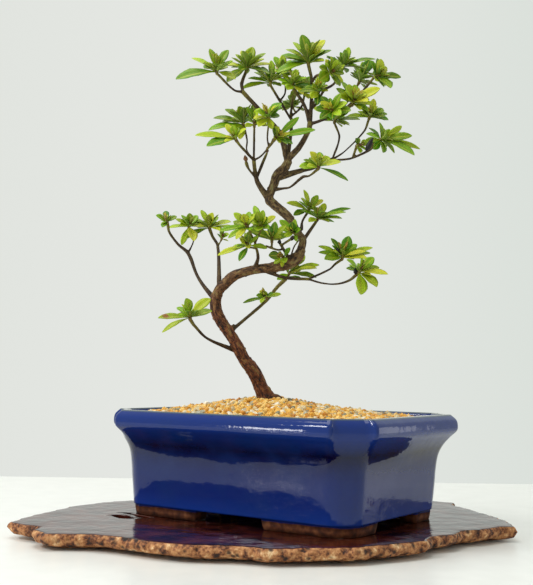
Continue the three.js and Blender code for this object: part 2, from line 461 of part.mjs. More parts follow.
// A leaf: a blade with a keel under its midrib. It leaves the shoot's stem at a point that lies higher for
// leaves that point along the stem, and bends over in a shallow arch to its tip. Its upper face turns from
// the stem's tip towards the light.
const LEAF_ARCH = 0.12; // of the leaf's length
const LEAF_ROOT = 0.4; // how far off the stem's middle the leaf starts
const LEAF_KEEL = 0.55; // the midrib's depth under the blade
const LEAF_LIGHT = new THREE.Vector3(0.3, -1.1, 0.2); // towards the light, beside a stem's length of 1
const leafSections = [[0.4, 0.88], [0.7, 0.95]]; // place along the leaf, part of its full width

function leafBlade(foot, head, step, width) {
  const stem = head.clone().sub(foot);
  const axis = stem.clone().normalize();
  const tip = head.clone().add(step);
  const rise = step.clone().normalize().dot(axis);
  const outward = step.clone().addScaledVector(axis, -step.dot(axis)).normalize();
  const root = foot.clone().addScaledVector(stem, 0.3 + 0.65 * Math.max(0, rise))
    .addScaledVector(outward, LEAF_ROOT);
  const along = tip.clone().sub(root);
  const length = along.length();
  along.normalize();
  const up = axis.clone().add(LEAF_LIGHT);
  up.addScaledVector(along, -up.dot(along)).normalize();
  const side = new THREE.Vector3().crossVectors(along, up);
  const crown = root.clone().lerp(tip, 0.5).addScaledVector(up, LEAF_ARCH * length);
  const bend = new THREE.QuadraticBezierCurve3(root, crown, tip);
  const rings = leafSections.map(([s, part]) => {
    const p = bend.getPoint(s);
    const half = width * part / 2;
    const edge = p.clone().addScaledVector(up, 0.2 * half);
    return [
      edge.clone().addScaledVector(side, half),
      edge.clone().addScaledVector(side, -half),
      p.clone().addScaledVector(up, -LEAF_KEEL),
    ];
  });
  return skin([[root], ...rings, [tip]]);
}

// The leaves that the rule adds point away from the tree's best side, fanned out from each other.
const STEM_NECK = 0.7; // the stem first goes on straight from the wood that it grows from
const BACK_REACH = 10;
const BACK_RISE = 4;
const BACK_WIDTH = 5.3;
const BACK_FAN = THREE.MathUtils.degToRad(80);

function backLeaf(index, count) {
  const turn = Math.PI / 2 + (index - (count - 1) / 2) * BACK_FAN;
  return [BACK_REACH * Math.cos(turn), BACK_REACH * Math.sin(turn), BACK_RISE, BACK_WIDTH];
}

function leafyShoot(name) {
  const { head: headPlace, back, tips } = shoots[name];
  const [before, end] = limbs[name].slice(-2).map(vector);
  const out = end.clone().sub(before).normalize();
  const head = vector(headPlace);
  const foot = end.clone().addScaledVector(out, GAP);
  const neck = foot.clone().addScaledVector(out, STEM_NECK);
  const thick = limbs[name].at(-1)[3] * 0.9;
  const stem = tube([{ p: foot, r: thick }, { p: neck, r: thick }, { p: head, r: 0.8 }], 4, true);
  const rows = [...tips];
  for (let k = 0; k < back; k += 1) rows.push(backLeaf(k, back));
  return joined([stem, ...rows.map((row) => leafBlade(neck, head, vector(row), row[3]))]);
}

for (const name of Object.keys(shoots)) {
  tree.add(piece(`leaves_${name}`, geometryOf(leafyShoot(name)), 0x5d8a22, 0.45));
}

// Soil and gravel fill the pot. The gravel's surface is a mound round the trunk, broken into pebbles.
const TRUNK_FOOT = limbs.trunk[0];
const turn = THREE.MathUtils.degToRad(TREE_TURN);
const trunkX = TRUNK_FOOT[0] * Math.cos(turn) - TRUNK_FOOT[1] * Math.sin(turn);
const trunkY = TRUNK_FOOT[0] * Math.sin(turn) + TRUNK_FOOT[1] * Math.cos(turn);
const MOUND_EDGE = 62.6; // above the feet
const MOUND_RISE = 14;
const MOUND_SPREAD = 64;
const MOUND_POWER = 1.3; // 2 would be a bell, 1 a cone with a sharp top
const PEBBLE_RISE = 1.1;

function moundHeight(x, y) {
  const far = (Math.hypot(x - trunkX, y - trunkY) / MOUND_SPREAD) ** MOUND_POWER;
  const walls = (1 - (x / 96) ** 6) * (1 - (y / 70) ** 6);
  return MOUND_EDGE + MOUND_RISE * Math.exp(-far) * Math.max(0, walls);
}

function seeded(seed) {
  let state = seed;
  return () => {
    state = (state * 1664525 + 1013904223) % 4294967296;
    return state / 4294967296;
  };
}

// What fills the pot between two levels, clear of its walls.
function filling(low, high) {
  const middle = inside.map(([, z]) => z).filter((z) => z > low && z < high);
  const levels = [low, ...middle.reverse(), high];
  const insets = levels.map((z) => (z > POT_HEIGHT ? inside[0][0] : innerInset(z)) + 1.5 * GAP);
  return solid(skin(levels.map((z, i) => potOutline(insets[i], z))));
}

function gravelBlock() {
  const random = seeded(7);
  const across = Math.ceil(POT_LENGTH / PEBBLE);
  const deep = Math.ceil(POT_WIDTH / PEBBLE);
  const positions = [];
  const triangles = [];
  const at = (i, j) => j * (across + 1) + i;
  for (let j = 0; j <= deep; j += 1) {
    for (let i = 0; i <= across; i += 1) {
      const edge = i === 0 || j === 0 || i === across || j === deep;
      const shift = edge ? 0 : 0.5 * PEBBLE * (random() - 0.5);
      const x = (i - across / 2) * PEBBLE + shift;
      const y = (j - deep / 2) * PEBBLE + shift * (j % 2 ? 1 : -1);
      positions.push(x, y, moundHeight(x, y) - 0.4);
    }
  }
  for (let j = 0; j < deep; j += 1) {
    for (let i = 0; i < across; i += 1) {
      const corners = [at(i, j), at(i + 1, j), at(i + 1, j + 1), at(i, j + 1)];
      const x = corners.reduce((sum, c) => sum + positions[3 * c] / 4, 0);
      const y = corners.reduce((sum, c) => sum + positions[3 * c + 1] / 4, 0);
      const crest = positions.length / 3;
      positions.push(x, y, moundHeight(x, y) + PEBBLE_RISE * (0.4 + random()));
      corners.forEach((c, k) => triangles.push(c, corners[(k + 1) % 4], crest));
    }
  }
  const rim = [];
  for (let i = 0; i < across; i += 1) rim.push(at(i, 0));
  for (let j = 0; j < deep; j += 1) rim.push(at(across, j));
  for (let i = across; i > 0; i -= 1) rim.push(at(i, deep));
  for (let j = deep; j > 0; j -= 1) rim.push(at(0, j));
  const low = positions.length / 3;
  rim.forEach((c) => positions.push(positions[3 * c], positions[3 * c + 1], SOIL_TOP - 2));
  const middle = positions.length / 3;
  positions.push(0, 0, SOIL_TOP - 2);
  rim.forEach((c, k) => {
    const next = (k + 1) % rim.length;
    triangles.push(c, low + k, rim[next], rim[next], low + k, low + next, middle, low + next, low + k);
  });
  return solid(facingOut(positions, triangles));
}

// The plain hole that the root crown, the leaning foot of the trunk and the low root stand in.
function rootHole() {
  const clearance = 2 * GAP;
  const widened = (row) => {
    const places = row.map((place) => ({ p: vector(place), r: place[3] + clearance }));
    const lengthen = (end, inner) => end.p.add(end.p.clone().sub(inner.p).setLength(clearance));
    lengthen(places[0], places[1]);
    lengthen(places.at(-1), places.at(-2));
    return tube(places, TRUNK_SIDES);
  };
  const shapes = [rootCrown(clearance), widened(limbs.trunk.slice(0, 3)), widened(limbs.low_root)];
  return joined(shapes.map((shape) => shape.rotateZ(turn).translate(0, 0, SLAB_TOP - potBase)));
}

const pocket = (x) => solid(boxAt(MESH_SIDE + 2 * GAP, MESH_SIDE + 2 * GAP, 6, x, 0, WALL_FLOOR));
const soil = filling(WALL_FLOOR + GAP, SOIL_TOP - GAP)
  .subtract(rootHole())
  .subtract(pocket(-DRAIN_SPACING / 2))
  .subtract(pocket(DRAIN_SPACING / 2));
pot.add(piece('soil', geometryOf(soil), 0x5a4028, 0.95));
const gravel = gravelBlock().intersect(filling(SOIL_TOP, POT_HEIGHT + 20)).subtract(rootHole());
pot.add(piece('gravel', geometryOf(gravel), 0xd9a24e, 0.9));

// The slab, a live-edged slice of burl: across the tree's best side, away from its viewer.
const slabEdge = [
  [-167, -44], [-165, -34], [-160, -14], [-154, 1], [-145, 26], [-128, 49], [-116, 59], [-101, 68],
  [-84, 82], [-60, 92], [-32, 97], [0, 104], [34, 108], [68, 103], [94, 98], [116, 88], [128, 78],
  [126, 66], [133, 41], [141, 13], [146, -5], [145, -35], [136, -35], [121, -49], [109, -53],
  [98, -69], [87, -77], [80, -92], [58, -107], [35, -118], [8, -122], [-8, -125], [-30, -116],
  [-49, -117], [-66, -111], [-87, -98], [-99, -91], [-110, -86], [-137, -87], [-147, -73],
  [-146, -62], [-160, -52],
];
const SLAB_FLARE = 2; // how far the bark bulges out under the polished face
const SLAB_TUCK = 0.88; // the underside's size beside the top's

// A knot has dropped out beside the pot's left foot and left two holes with a bridge of wood between them.
const knotHoles = [
  [[-111, -14], [-105, -23], [-99, -26], [-93, -24], [-96, -17], [-100, -11], [-106, -7], [-110, -9]],
  [
    [-106, -1], [-100, -5], [-95, -12], [-90, -21], [-86, -22], [-83, -18], [-88, -12], [-97, -6],
    [-100, 3], [-104, 3],
  ],
];

function slabBody() {
  const level = (z, part, out) => slabEdge.map(([x, y]) => {
    const reach = Math.hypot(x, y);
    const scale = part + out / reach;
    return new THREE.Vector3(x * scale, y * scale, z);
  });
  const rim = SLAB_TOP - SLAB_EDGE;
  const board = solid(skin([
    level(0, SLAB_TUCK, 0),
    level(rim, 1, -1),
    level(rim + SLAB_EDGE / 2, 1, SLAB_FLARE),
    level(SLAB_TOP, 1, 0),
  ]));
  return knotHoles.reduce((sum, places) => {
    const outline = new THREE.Shape(places.map(([x, y]) => new THREE.Vector2(x, y)));
    const hole = new THREE.ExtrudeGeometry(outline, { depth: 30, bevelEnabled: false });
    return sum.subtract(solid(hole.translate(0, 0, -10)));
  }, board);
}
const slab = piece('display_slab', geometryOf(slabBody()), 0x3a1512, 0.2);
slab.rotation.z = turn;
bonsai.add(slab);

export default bonsai;
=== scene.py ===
import bpy
import numpy as np
from mathutils import Matrix, Vector


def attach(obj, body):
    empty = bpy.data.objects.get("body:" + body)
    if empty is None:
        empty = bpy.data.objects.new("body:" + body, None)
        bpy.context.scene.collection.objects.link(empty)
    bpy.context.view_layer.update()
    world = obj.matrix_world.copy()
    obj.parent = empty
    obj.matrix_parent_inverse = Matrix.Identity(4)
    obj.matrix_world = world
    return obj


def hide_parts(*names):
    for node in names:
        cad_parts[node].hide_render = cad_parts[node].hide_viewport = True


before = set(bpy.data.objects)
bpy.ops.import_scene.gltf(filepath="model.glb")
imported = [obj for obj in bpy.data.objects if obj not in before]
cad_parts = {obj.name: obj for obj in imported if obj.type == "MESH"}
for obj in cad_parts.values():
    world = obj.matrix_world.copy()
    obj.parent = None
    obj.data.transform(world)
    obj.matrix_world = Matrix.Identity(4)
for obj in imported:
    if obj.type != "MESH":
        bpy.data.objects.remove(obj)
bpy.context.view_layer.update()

# The slab. A slice of burl some 290 mm across, planed and stained on top under a thick clear lacquer. Its
# rim is left as it grew, broken and bare, and a knot has dropped out of it. It lies flat on the table.
TREE_TURN = np.radians(35)
SLAB_TOP = 9.5
SLAB_EDGE = 6.5
SLAB_FLARE = 2.0
SLAB_TUCK = 0.88
EDGE_PARTS = 22
FACE_RINGS = 22
RIM_BANDS = 11

# The slab's outline and its two knot holes, along the tree's own directions, which TREE_TURN turns.
slab_edge = np.array([
    [-167, -44], [-165, -34], [-160, -14], [-154, 1], [-145, 26], [-128, 49], [-116, 59], [-101, 68],
    [-84, 82], [-60, 92], [-32, 97], [0, 104], [34, 108], [68, 103], [94, 98], [116, 88], [128, 78],
    [126, 66], [133, 41], [141, 13], [146, -5], [145, -35], [136, -35], [121, -49], [109, -53],
    [98, -69], [87, -77], [80, -92], [58, -107], [35, -118], [8, -122], [-8, -125], [-30, -116],
    [-49, -117], [-66, -111], [-87, -98], [-99, -91], [-110, -86], [-137, -87], [-147, -73],
    [-146, -62], [-160, -52],
], float)
knot_edges = [
    np.array([[-111, -14], [-105, -23], [-99, -26], [-93, -24], [-96, -17], [-100, -11], [-106, -7],
              [-110, -9]], float),
    np.array([[-106, -1], [-100, -5], [-95, -12], [-90, -21], [-86, -22], [-83, -18], [-88, -12], [-97, -6],
              [-100, 3], [-104, 3]], float),
]


def from_hex(text):
    """The linear colour of an sRGB hex value."""
    part = np.array([int(text[i:i + 2], 16) for i in (1, 3, 5)]) / 255
    linear = np.where(part < 0.04045, part / 12.92, ((part + 0.055) / 1.055) ** 2.4)
    return (*linear.tolist(), 1.0)


def add(nodes, kind, inputs=None, steps=(), **settings):
    """One shader node in a material's tree, with its settings. An input is a value, an output to link, or a
    node whose first output in use is linked. A ramp's steps are places and hex colours, from low to high."""
    node = nodes.new("ShaderNode" + kind)
    for name, value in settings.items():
        setattr(node, name, value)
    for key, value in (inputs or {}).items():
        if isinstance(value, bpy.types.Node):
            value = next(socket for socket in value.outputs if socket.enabled)
        if isinstance(value, bpy.types.NodeSocket):
            node.id_data.links.new(value, node.inputs[key])
        else:
            node.inputs[key].default_value = value
    for number, (place, text) in enumerate(steps):
        elements = node.color_ramp.elements
        step = elements[number] if number < len(elements) else elements.new(place)
        step.position, step.color = place, from_hex(text)
    return node


def new_material(name, slot_colour):
    """A material with an empty node tree, and the colour that it has in a plain view."""
    material = bpy.data.materials.new(name)
    material.use_nodes = True
    material.diffuse_color = from_hex(slot_colour)
    nodes = material.node_tree.nodes
    nodes.clear()
    return material, nodes


def mottled_material(name, slot_colour, scale, detail, steps, finish):
    """A plain material in a few close colours, mottled by noise. The finish is its shader's other inputs."""
    material, nodes = new_material(name, slot_colour)
    place = add(nodes, "TexCoord").outputs["Object"]
    mottle = add(nodes, "TexNoise", {"Vector": place, "Scale": scale, "Detail": detail})
    colour = add(nodes, "ValToRGB", {"Fac": mottle}, steps)
    shader = add(nodes, "BsdfPrincipled", {"Base Color": colour, **finish})
    add(nodes, "OutputMaterial", {"Surface": shader})
    return material


def turned(points):
    """Points turned about the vertical from the line across the tree's best side to the pot's length."""
    c, s = np.cos(TREE_TURN), np.sin(TREE_TURN)
    return points @ np.array([[c, s, 0], [-s, c, 0], [0, 0, 1]])


def drift(points, size, seed):
    """Smooth noise from -1 to 1: random values on a cubic lattice of that size, blended between corners."""
    values = np.random.default_rng(seed).random((32, 32, 32)) * 2 - 1
    cell = points / size
    low = np.floor(cell).astype(int)
    part = cell - low
    part = part * part * (3 - 2 * part)
    total = np.zeros(points.shape[:-1])
    for corner in np.ndindex(2, 2, 2):
        weight = np.prod(np.where(np.array(corner) == 1, part, 1 - part), axis=-1)
        total += weight * values[tuple(np.moveaxis((low + corner) % 32, -1, 0))]
    return total


def grid_faces(rows, columns):
    """The quads between the rows of a grid, also from its last column to its first."""
    i = np.arange(rows - 1)[:, None]
    j = np.arange(columns)[None, :]
    k = (j + 1) % columns
    return np.stack([
        i * columns + j, i * columns + k, (i + 1) * columns + k, (i + 1) * columns + j,
    ], -1).reshape(-1, 4)


def shell(rings):
    """A closed skin over rings of points: quads between them, and a fan from its middle over each end."""
    rows, columns = rings.shape[:2]
    points = np.concatenate([rings.reshape(-1, 3), rings[0].mean(0)[None], rings[-1].mean(0)[None]])
    low, high = rows * columns, rows * columns + 1
    j = np.arange(columns)
    k = (j + 1) % columns
    start = np.stack([np.full(columns, low), k, j], -1)
    last = (rows - 1) * columns
    end = np.stack([np.full(columns, high), last + j, last + k], -1)
    return points, [grid_faces(rows, columns), start, end]


def make_piece(name, points, faces, materials, slots=None, smooth=True):
    """An object from points in millimetres and arrays of faces, with a slot number for each face."""
    mesh = bpy.data.meshes.new(name)
    mesh.from_pydata((points * 0.001).tolist(), [], [row for block in faces for row in block.tolist()])
    for material in materials:
        mesh.materials.append(material)
    if slots is not None:
        mesh.polygons.foreach_set("material_index", np.concatenate(slots).astype(np.int32))
    mesh.polygons.foreach_set("use_smooth", np.full(len(mesh.polygons), smooth))
    mesh.update()
    piece = bpy.data.objects.new(name, mesh)
    bpy.context.scene.collection.objects.link(piece)
    return piece


def applied(piece):
    """Gives a piece the mesh that its modifiers make, and clears them."""
    result = bpy.data.meshes.new_from_object(piece.evaluated_get(bpy.context.evaluated_depsgraph_get()))
    result.name = piece.name
    piece.modifiers.clear()
    piece.data = result


def cut_out(piece, tool, operation):
    """Takes the tool's shape out of a piece, or adds it, and drops the tool."""
    change = piece.modifiers.new("shape", "BOOLEAN")
    change.object, change.operation, change.solver = tool, operation, "EXACT"
    applied(piece)
    bpy.data.objects.remove(tool)


def finer(outline, parts):
    """A closed outline with each of its edges cut into equal parts."""
    t = (np.arange(parts) / parts)[None, :, None]
    return (outline[:, None] * (1 - t) + np.roll(outline, -1, 0)[:, None] * t).reshape(-1, outline.shape[1])


def softened(outline):
    """A closed outline whose corners are cut off at a quarter of each edge."""
    ahead = np.roll(outline, -1, 0)
    return np.stack([outline * 0.75 + ahead * 0.25, outline * 0.25 + ahead * 0.75], 1).reshape(-1, 2)


# Burl, planed, stained and lacquered: dark eyes and swirls seen through a clear coat that mirrors the room.
lacquered_burl, nodes = new_material("burl_stained_and_lacquered", "#34140f")
place = add(nodes, "TexCoord").outputs["Object"]
swirl = add(nodes, "TexNoise", {"Vector": place, "Scale": 28.0, "Detail": 6.0, "Distortion": 1.6})
eyes = add(nodes, "TexVoronoi", {"Vector": place, "Scale": 70.0})
figure = add(nodes, "Math", {0: swirl, 1: eyes}, operation="MULTIPLY")
figure_colour = add(nodes, "ValToRGB", {"Fac": figure}, [
    (0.0, "#0e0403"), (0.14, "#260c09"), (0.3, "#40170f"), (0.55, "#5a2917"),
])
ripple = add(nodes, "TexNoise", {"Vector": place, "Scale": 70.0, "Detail": 3.0})
ripples = add(nodes, "Bump", {"Height": ripple, "Strength": 0.55, "Distance": 0.0014})
lacquer = add(nodes, "BsdfPrincipled", {
    "Base Color": figure_colour, "Roughness": 0.14, "IOR": 1.38, "Normal": ripples,
})
add(nodes, "OutputMaterial", {"Surface": lacquer})

# The rim is bare burl where the bark came away: tan and ochre wood, pitted some 2 to 5 mm across. In patches
# the pits are darkened to near black: painted shade in the hollows.
# In a colour Mix, input 0 is the factor, and 6 and 7 are the two colours.
bare_burl, nodes = new_material("burl_rim_as_grown", "#8a6442")
place = add(nodes, "TexCoord").outputs["Object"]
lumps = add(nodes, "TexNoise", {"Vector": place, "Scale": 160.0, "Detail": 7.0, "Roughness": 0.72})
tan = add(nodes, "ValToRGB", {"Fac": lumps}, [
    (0.38, "#1f0e06"), (0.44, "#643417"), (0.5, "#a36a3e"), (0.58, "#c48d5a"), (0.66, "#ecca9a"),
])
pits = add(nodes, "TexVoronoi", {"Vector": place, "Scale": 240.0})
hollow = add(nodes, "MapRange", {
    "Value": pits, "From Min": 0.2, "From Max": 0.46, "To Min": 0.9, "To Max": 0.0,
})
patch = add(nodes, "TexNoise", {"Vector": place, "Scale": 75.0, "Detail": 2.0})
where = add(nodes, "MapRange", {"Value": patch, "From Min": 0.44, "From Max": 0.54})
# Painted shade: the hollows of the pits darken, in patches, towards near black.
pit_shade = add(nodes, "Math", {0: hollow, 1: where}, operation="MULTIPLY")
wood = add(nodes, "Mix", {0: pit_shade, 6: tan, 7: from_hex("#241009")}, data_type="RGBA")
relief = add(nodes, "Bump", {"Height": pits, "Distance": 0.0016})
rim_shader = add(nodes, "BsdfPrincipled", {
    "Base Color": wood, "Roughness": 0.7, "IOR": 1.5, "Normal": relief,
})
add(nodes, "OutputMaterial", {"Surface": rim_shader})

# The knot's holes have nearly black, dull walls: painted shade of the holes.
knot_wall_shade = mottled_material("burl_knot_painted_shade", "#17100b", 250.0, 4.0, [
    (0.35, "#0b0806"), (0.6, "#1d140c"), (0.75, "#3a2a1a"),
], {"Roughness": 0.5, "IOR": 1.45})


def slab_rings():
    """Rings from the middle of the polished face out to the rim, down round it and back in underneath. Each
    is the outline drawn in to a part of its size, moved out a little, at a height, and worn by the drift."""
    outline = finer(slab_edge, EDGE_PARTS)
    reach = np.linalg.norm(outline, axis=1)[:, None]
    rim = SLAB_TOP - SLAB_EDGE
    face = [(part, 0, SLAB_TOP) for part in np.linspace(0.04, 0.985, FACE_RINGS)]
    edge = [
        (1, 0, SLAB_TOP - 0.15), (1, 0.9, SLAB_TOP - 1), (1, 1.6, SLAB_TOP - 2), (1, SLAB_FLARE, rim + 3.3),
        (1, 1.2, rim + 1.6), (1, -0.6, rim), (0.97, 0, 1.9), (0.93, 0, 0.8), (0.89, 0, 0.12),
        (SLAB_TUCK, 0, 0),
    ]
    under = [(part, 0, 0) for part in np.linspace(0.8, 0.04, 6)]
    rings = []
    for part, out, z in face + edge + under:
        flat = outline * (part + out / reach)
        ring = np.column_stack([flat, np.full(len(flat), z)])
        worn = np.clip((part - 0.9) / 0.1, 0, 1) * (0.4 if z > SLAB_TOP - 0.1 else 1)
        push = 1.5 * drift(ring, 10, 3) + 1.0 * drift(ring, 4, 4) + 0.5 * drift(ring, 1.6, 7)
        ring[:, :2] += (outline / reach) * (push * worn)[:, None]
        if 0 < z < SLAB_TOP - 0.5:
            ring[:, 2] += (0.5 * drift(ring, 5, 5) + 0.3 * drift(ring, 1.8, 8)) * min(1, z / 2)
        rings.append(ring)
    return np.array(rings)


rings = slab_rings()
points, faces = shell(rings)
columns = rings.shape[1]
band = np.repeat(np.arange(len(rings) - 1), columns)
bare = (band >= FACE_RINGS) & (band < FACE_RINGS + RIM_BANDS)
slots = [bare.astype(int), np.zeros(columns), np.ones(columns)]
slab = make_piece("burl_slab", turned(points), faces, [lacquered_burl, bare_burl], slots)
for knot_edge in knot_edges:
    knot = finer(softened(knot_edge), 3)
    knot = knot + 0.5 * drift(np.column_stack([knot, knot[:, 0] * 0]), 4, 6)[:, None]
    middle = knot.mean(0)
    knot_rings = np.stack([
        np.column_stack([middle + (knot - middle) * part, np.full(len(knot), z)])
        for part, z in [(1.08, -4), (1.0, 3), (1.04, 6.5), (0.99, 9), (0.97, 14)]
    ])
    points, faces = shell(knot_rings)
    cut_out(slab, make_piece("knot", turned(points), faces, [knot_wall_shade]), "DIFFERENCE")
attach(slab, "root")
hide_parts("display_slab")

# The pot. Stoneware pressed in a mould, 203 by 150 by 68 mm, with cut corners, a rolled lip and four corner
# feet. It is dipped in cobalt glaze down to the feet, which stay bare brown clay.
POT_LENGTH, POT_WIDTH, POT_HEIGHT = 203.0, 150.0, 68.0
POT_BASE = SLAB_TOP + 0.3
CORNER = 19.4
CORNER_STEP = 3.2
FOOT_HEIGHT = 6.6
FOOT_BAND = 12.0
FOOT_OPENING = 50.0
FOOT_INSET = 16.0
WALL_FLOOR = 12.5
WALL_EASE = 3.0
STEPS_FROM, STEPS_OVER = 49.0, 9.0
DRAIN_PLACE, DRAIN_RADIUS = 46.0, 6.0

# The wall's profile, outside from the feet up to the lip and inside down to the floor: inset and height.
pot_outside = np.array([
    [15.1, FOOT_HEIGHT], [14.65, 11], [13.8, 20], [13.3, 25], [12.9, 31], [11.5, 41.2], [8.8, 47.4],
    [4.2, 53.5], [0.6, 57.5], [0, 60.5], [0.8, 64.5], [4.3, POT_HEIGHT],
])
pot_inside = np.array([[9, POT_HEIGHT], [11, 60], [18, 44], [21, WALL_FLOOR]])


def pot_corners(inset, z):
    """The pot's outline at one level: a rectangle with cut corners. On the lip each cut is set back behind
    two small steps, which fade into the plain eased cut of the wall below it."""
    length, width = POT_LENGTH / 2 - inset, POT_WIDTH / 2 - inset
    cut = CORNER - inset * (2 - np.sqrt(2))
    along = min(CORNER_STEP, cut / 5) * np.sqrt(0.5)
    stepped = np.array([
        [length, width - cut], [length - 2 * along, width - cut],
        [length - cut, width - 2 * along], [length - cut, width],
    ])
    ease = 0.7 * WALL_EASE
    plain = np.array([
        [length, width - cut - WALL_EASE], [length - ease, width - cut + ease],
        [length - cut + ease, width - ease], [length - cut - WALL_EASE, width],
    ])
    corner = plain + (stepped - plain) * np.clip((z - STEPS_FROM) / STEPS_OVER, 0, 1)
    back = corner[::-1]
    flat = np.concatenate([corner, back * [-1, 1], -corner, back * [1, -1]])
    return np.column_stack([flat, np.full(16, z)])


def rounded(outline, radius, parts):
    """An outline with each corner eased by a curve that starts up to a radius before it, and fine edges."""
    before, after = np.roll(outline, 1, 0) - outline, np.roll(outline, -1, 0) - outline
    long_before = np.linalg.norm(before, axis=1)[:, None]
    long_after = np.linalg.norm(after, axis=1)[:, None]
    start = outline + before / long_before * np.minimum(radius, 0.45 * long_before)
    end = outline + after / long_after * np.minimum(radius, 0.45 * long_after)
    t = np.linspace(0, 1, 6)[None, :, None]
    arcs = (1 - t) ** 2 * start[:, None] + 2 * t * (1 - t) * outline[:, None] + t ** 2 * end[:, None]
    s = (np.arange(1, parts) / parts)[None, :, None]
    edges = end[:, None] * (1 - s) + np.roll(start, -1, 0)[:, None] * s
    return np.concatenate([arcs, edges], 1).reshape(-1, 3)


def smooth_path(places, parts):
    """A curve through places: on each span a cubic whose end slopes run from the place before to the one
    after, so that it bends evenly."""
    spans = np.linalg.norm(np.diff(places[:, :3], axis=0), axis=1)
    slopes = np.zeros_like(places)
    slopes[1:-1] = (places[2:] - places[:-2]) / (spans[:-1] + spans[1:])[:, None]
    slopes[0] = (places[1] - places[0]) / spans[0]
    slopes[-1] = (places[-1] - places[-2]) / spans[-1]
    t = (np.arange(parts) / parts)[None, :, None]
    a, b = places[:-1, None], places[1:, None]
    m, n = slopes[:-1, None] * spans[:, None, None], slopes[1:, None] * spans[:, None, None]
    curve = (2 * t ** 3 - 3 * t ** 2 + 1) * a + (t ** 3 - 2 * t ** 2 + t) * m
    curve = curve + (3 * t ** 2 - 2 * t ** 3) * b + (t ** 3 - t ** 2) * n
    return np.concatenate([curve.reshape(-1, places.shape[1]), places[-1:]])


def foot_body(sign_x, sign_y):
    """One L-shaped corner foot: its section is carried along the outline from one opening to the next."""
    rows = []
    top, opening = FOOT_HEIGHT + 0.8, FOOT_OPENING / 2
    for inset, z, end in [(-0.2, top, opening), (0.3, 3, opening + 0.6), (0.9, 0, opening + 1.6)]:
        corners = pot_corners(FOOT_INSET + inset, z)[:4]
        rows.append(np.concatenate([[[corners[0, 0], end, z]], corners, [[end, corners[3, 1], z]]]))
    inner = FOOT_INSET + FOOT_BAND
    length, width = POT_LENGTH / 2 - inner, POT_WIDTH / 2 - inner
    for z, end in [(0, opening + 1.6), (top, opening)]:
        rows.append(np.array([
            [length, end, z], [length, width - 9, z], [length, width - 2, z], [length - 2, width, z],
            [length - 9, width, z], [end, width, z],
        ]))
    rings = np.array(rows).transpose(1, 0, 2)
    t = np.linspace(0, 1, 7)[None, :-1, None, None]
    dense = (rings[:-1, None] * (1 - t) + rings[1:, None] * t).reshape(-1, 5, 3)
    dense = np.concatenate([dense, rings[-1:]]) * [sign_x, sign_y, 1]
    return shell(dense if sign_x * sign_y < 0 else dense[:, ::-1])


# Stoneware under a cobalt glaze, dipped and fired glossy. The glaze pools deep blue on the walls, darkens to
# nearly black under the lip, partly thick glaze and partly painted shade where the wall faces down, thins to
# grey-green on the lip's edge, and ends in a soft line above the feet, where brown clay shows.
glazed_stoneware, nodes = new_material("stoneware_cobalt_glazed", "#0d2b63")
place = add(nodes, "TexCoord").outputs["Object"]
parts = add(nodes, "SeparateXYZ", {"Vector": place})
pool = add(nodes, "TexNoise", {"Vector": place, "Scale": 32.0, "Detail": 4.0, "Roughness": 0.6})
level = add(nodes, "MapRange", {
    "Value": parts.outputs["Z"], "From Min": (POT_BASE + FOOT_HEIGHT) / 1000,
    "From Max": (POT_BASE + 56) / 1000,
})
# By height from the feet: bright cobalt, then nearly black under the lip, partly thick glaze and partly
# painted shade, then blue at the lip.
glaze_blue_and_shade = add(nodes, "ValToRGB", {"Fac": level}, [
    (0.0, "#073188"), (0.2, "#03226e"), (0.5, "#041c60"), (0.8, "#000224"), (1.0, "#0a2a72"),
])
pooled = add(nodes, "MapRange", {"Value": pool, "From Min": 0.4, "From Max": 0.75, "To Max": 0.5})
cloud = add(nodes, "Mix", {0: pooled, 6: glaze_blue_and_shade, 7: from_hex("#14306a")}, data_type="RGBA")
line_noise = add(nodes, "TexNoise", {"Vector": place, "Scale": 60.0, "Detail": 3.0})
line_height = add(nodes, "Math", {
    0: line_noise, 1: 0.0024, 2: (POT_BASE + FOOT_HEIGHT - 2.6) / 1000,
}, operation="MULTIPLY_ADD")
over_line = add(nodes, "Math", {0: parts.outputs["Z"], 1: line_height}, operation="SUBTRACT")
glazed = add(nodes, "MapRange", {"Value": over_line, "From Max": 0.0007})
clay_noise = add(nodes, "TexNoise", {"Vector": place, "Scale": 220.0, "Detail": 5.0})
clay = add(nodes, "ValToRGB", {"Fac": clay_noise}, [(0.3, "#2a1208"), (0.5, "#5c2f1a"), (0.7, "#83502f")])
lip = add(nodes, "MapRange", {
    "Value": parts.outputs["Z"], "From Min": (POT_BASE + 66.9) / 1000, "From Max": (POT_BASE + 67.9) / 1000,
})
thin = add(nodes, "Mix", {0: lip, 6: cloud, 7: from_hex("#4c5a5c")}, data_type="RGBA")
body_colour = add(nodes, "Mix", {0: glazed, 6: clay, 7: thin}, data_type="RGBA")
gloss = add(nodes, "MapRange", {"Value": glazed, "To Min": 0.75, "To Max": 0.07})
wave = add(nodes, "TexNoise", {"Vector": place, "Scale": 70.0, "Detail": 3.0, "Roughness": 0.55})
waves = add(nodes, "Bump", {"Height": wave, "Strength": 0.22, "Distance": 0.0012})
glaze = add(nodes, "BsdfPrincipled", {
    "Base Color": body_colour, "Roughness": gloss, "IOR": 1.42, "Normal": waves,
})
add(nodes, "OutputMaterial", {"Surface": glaze})

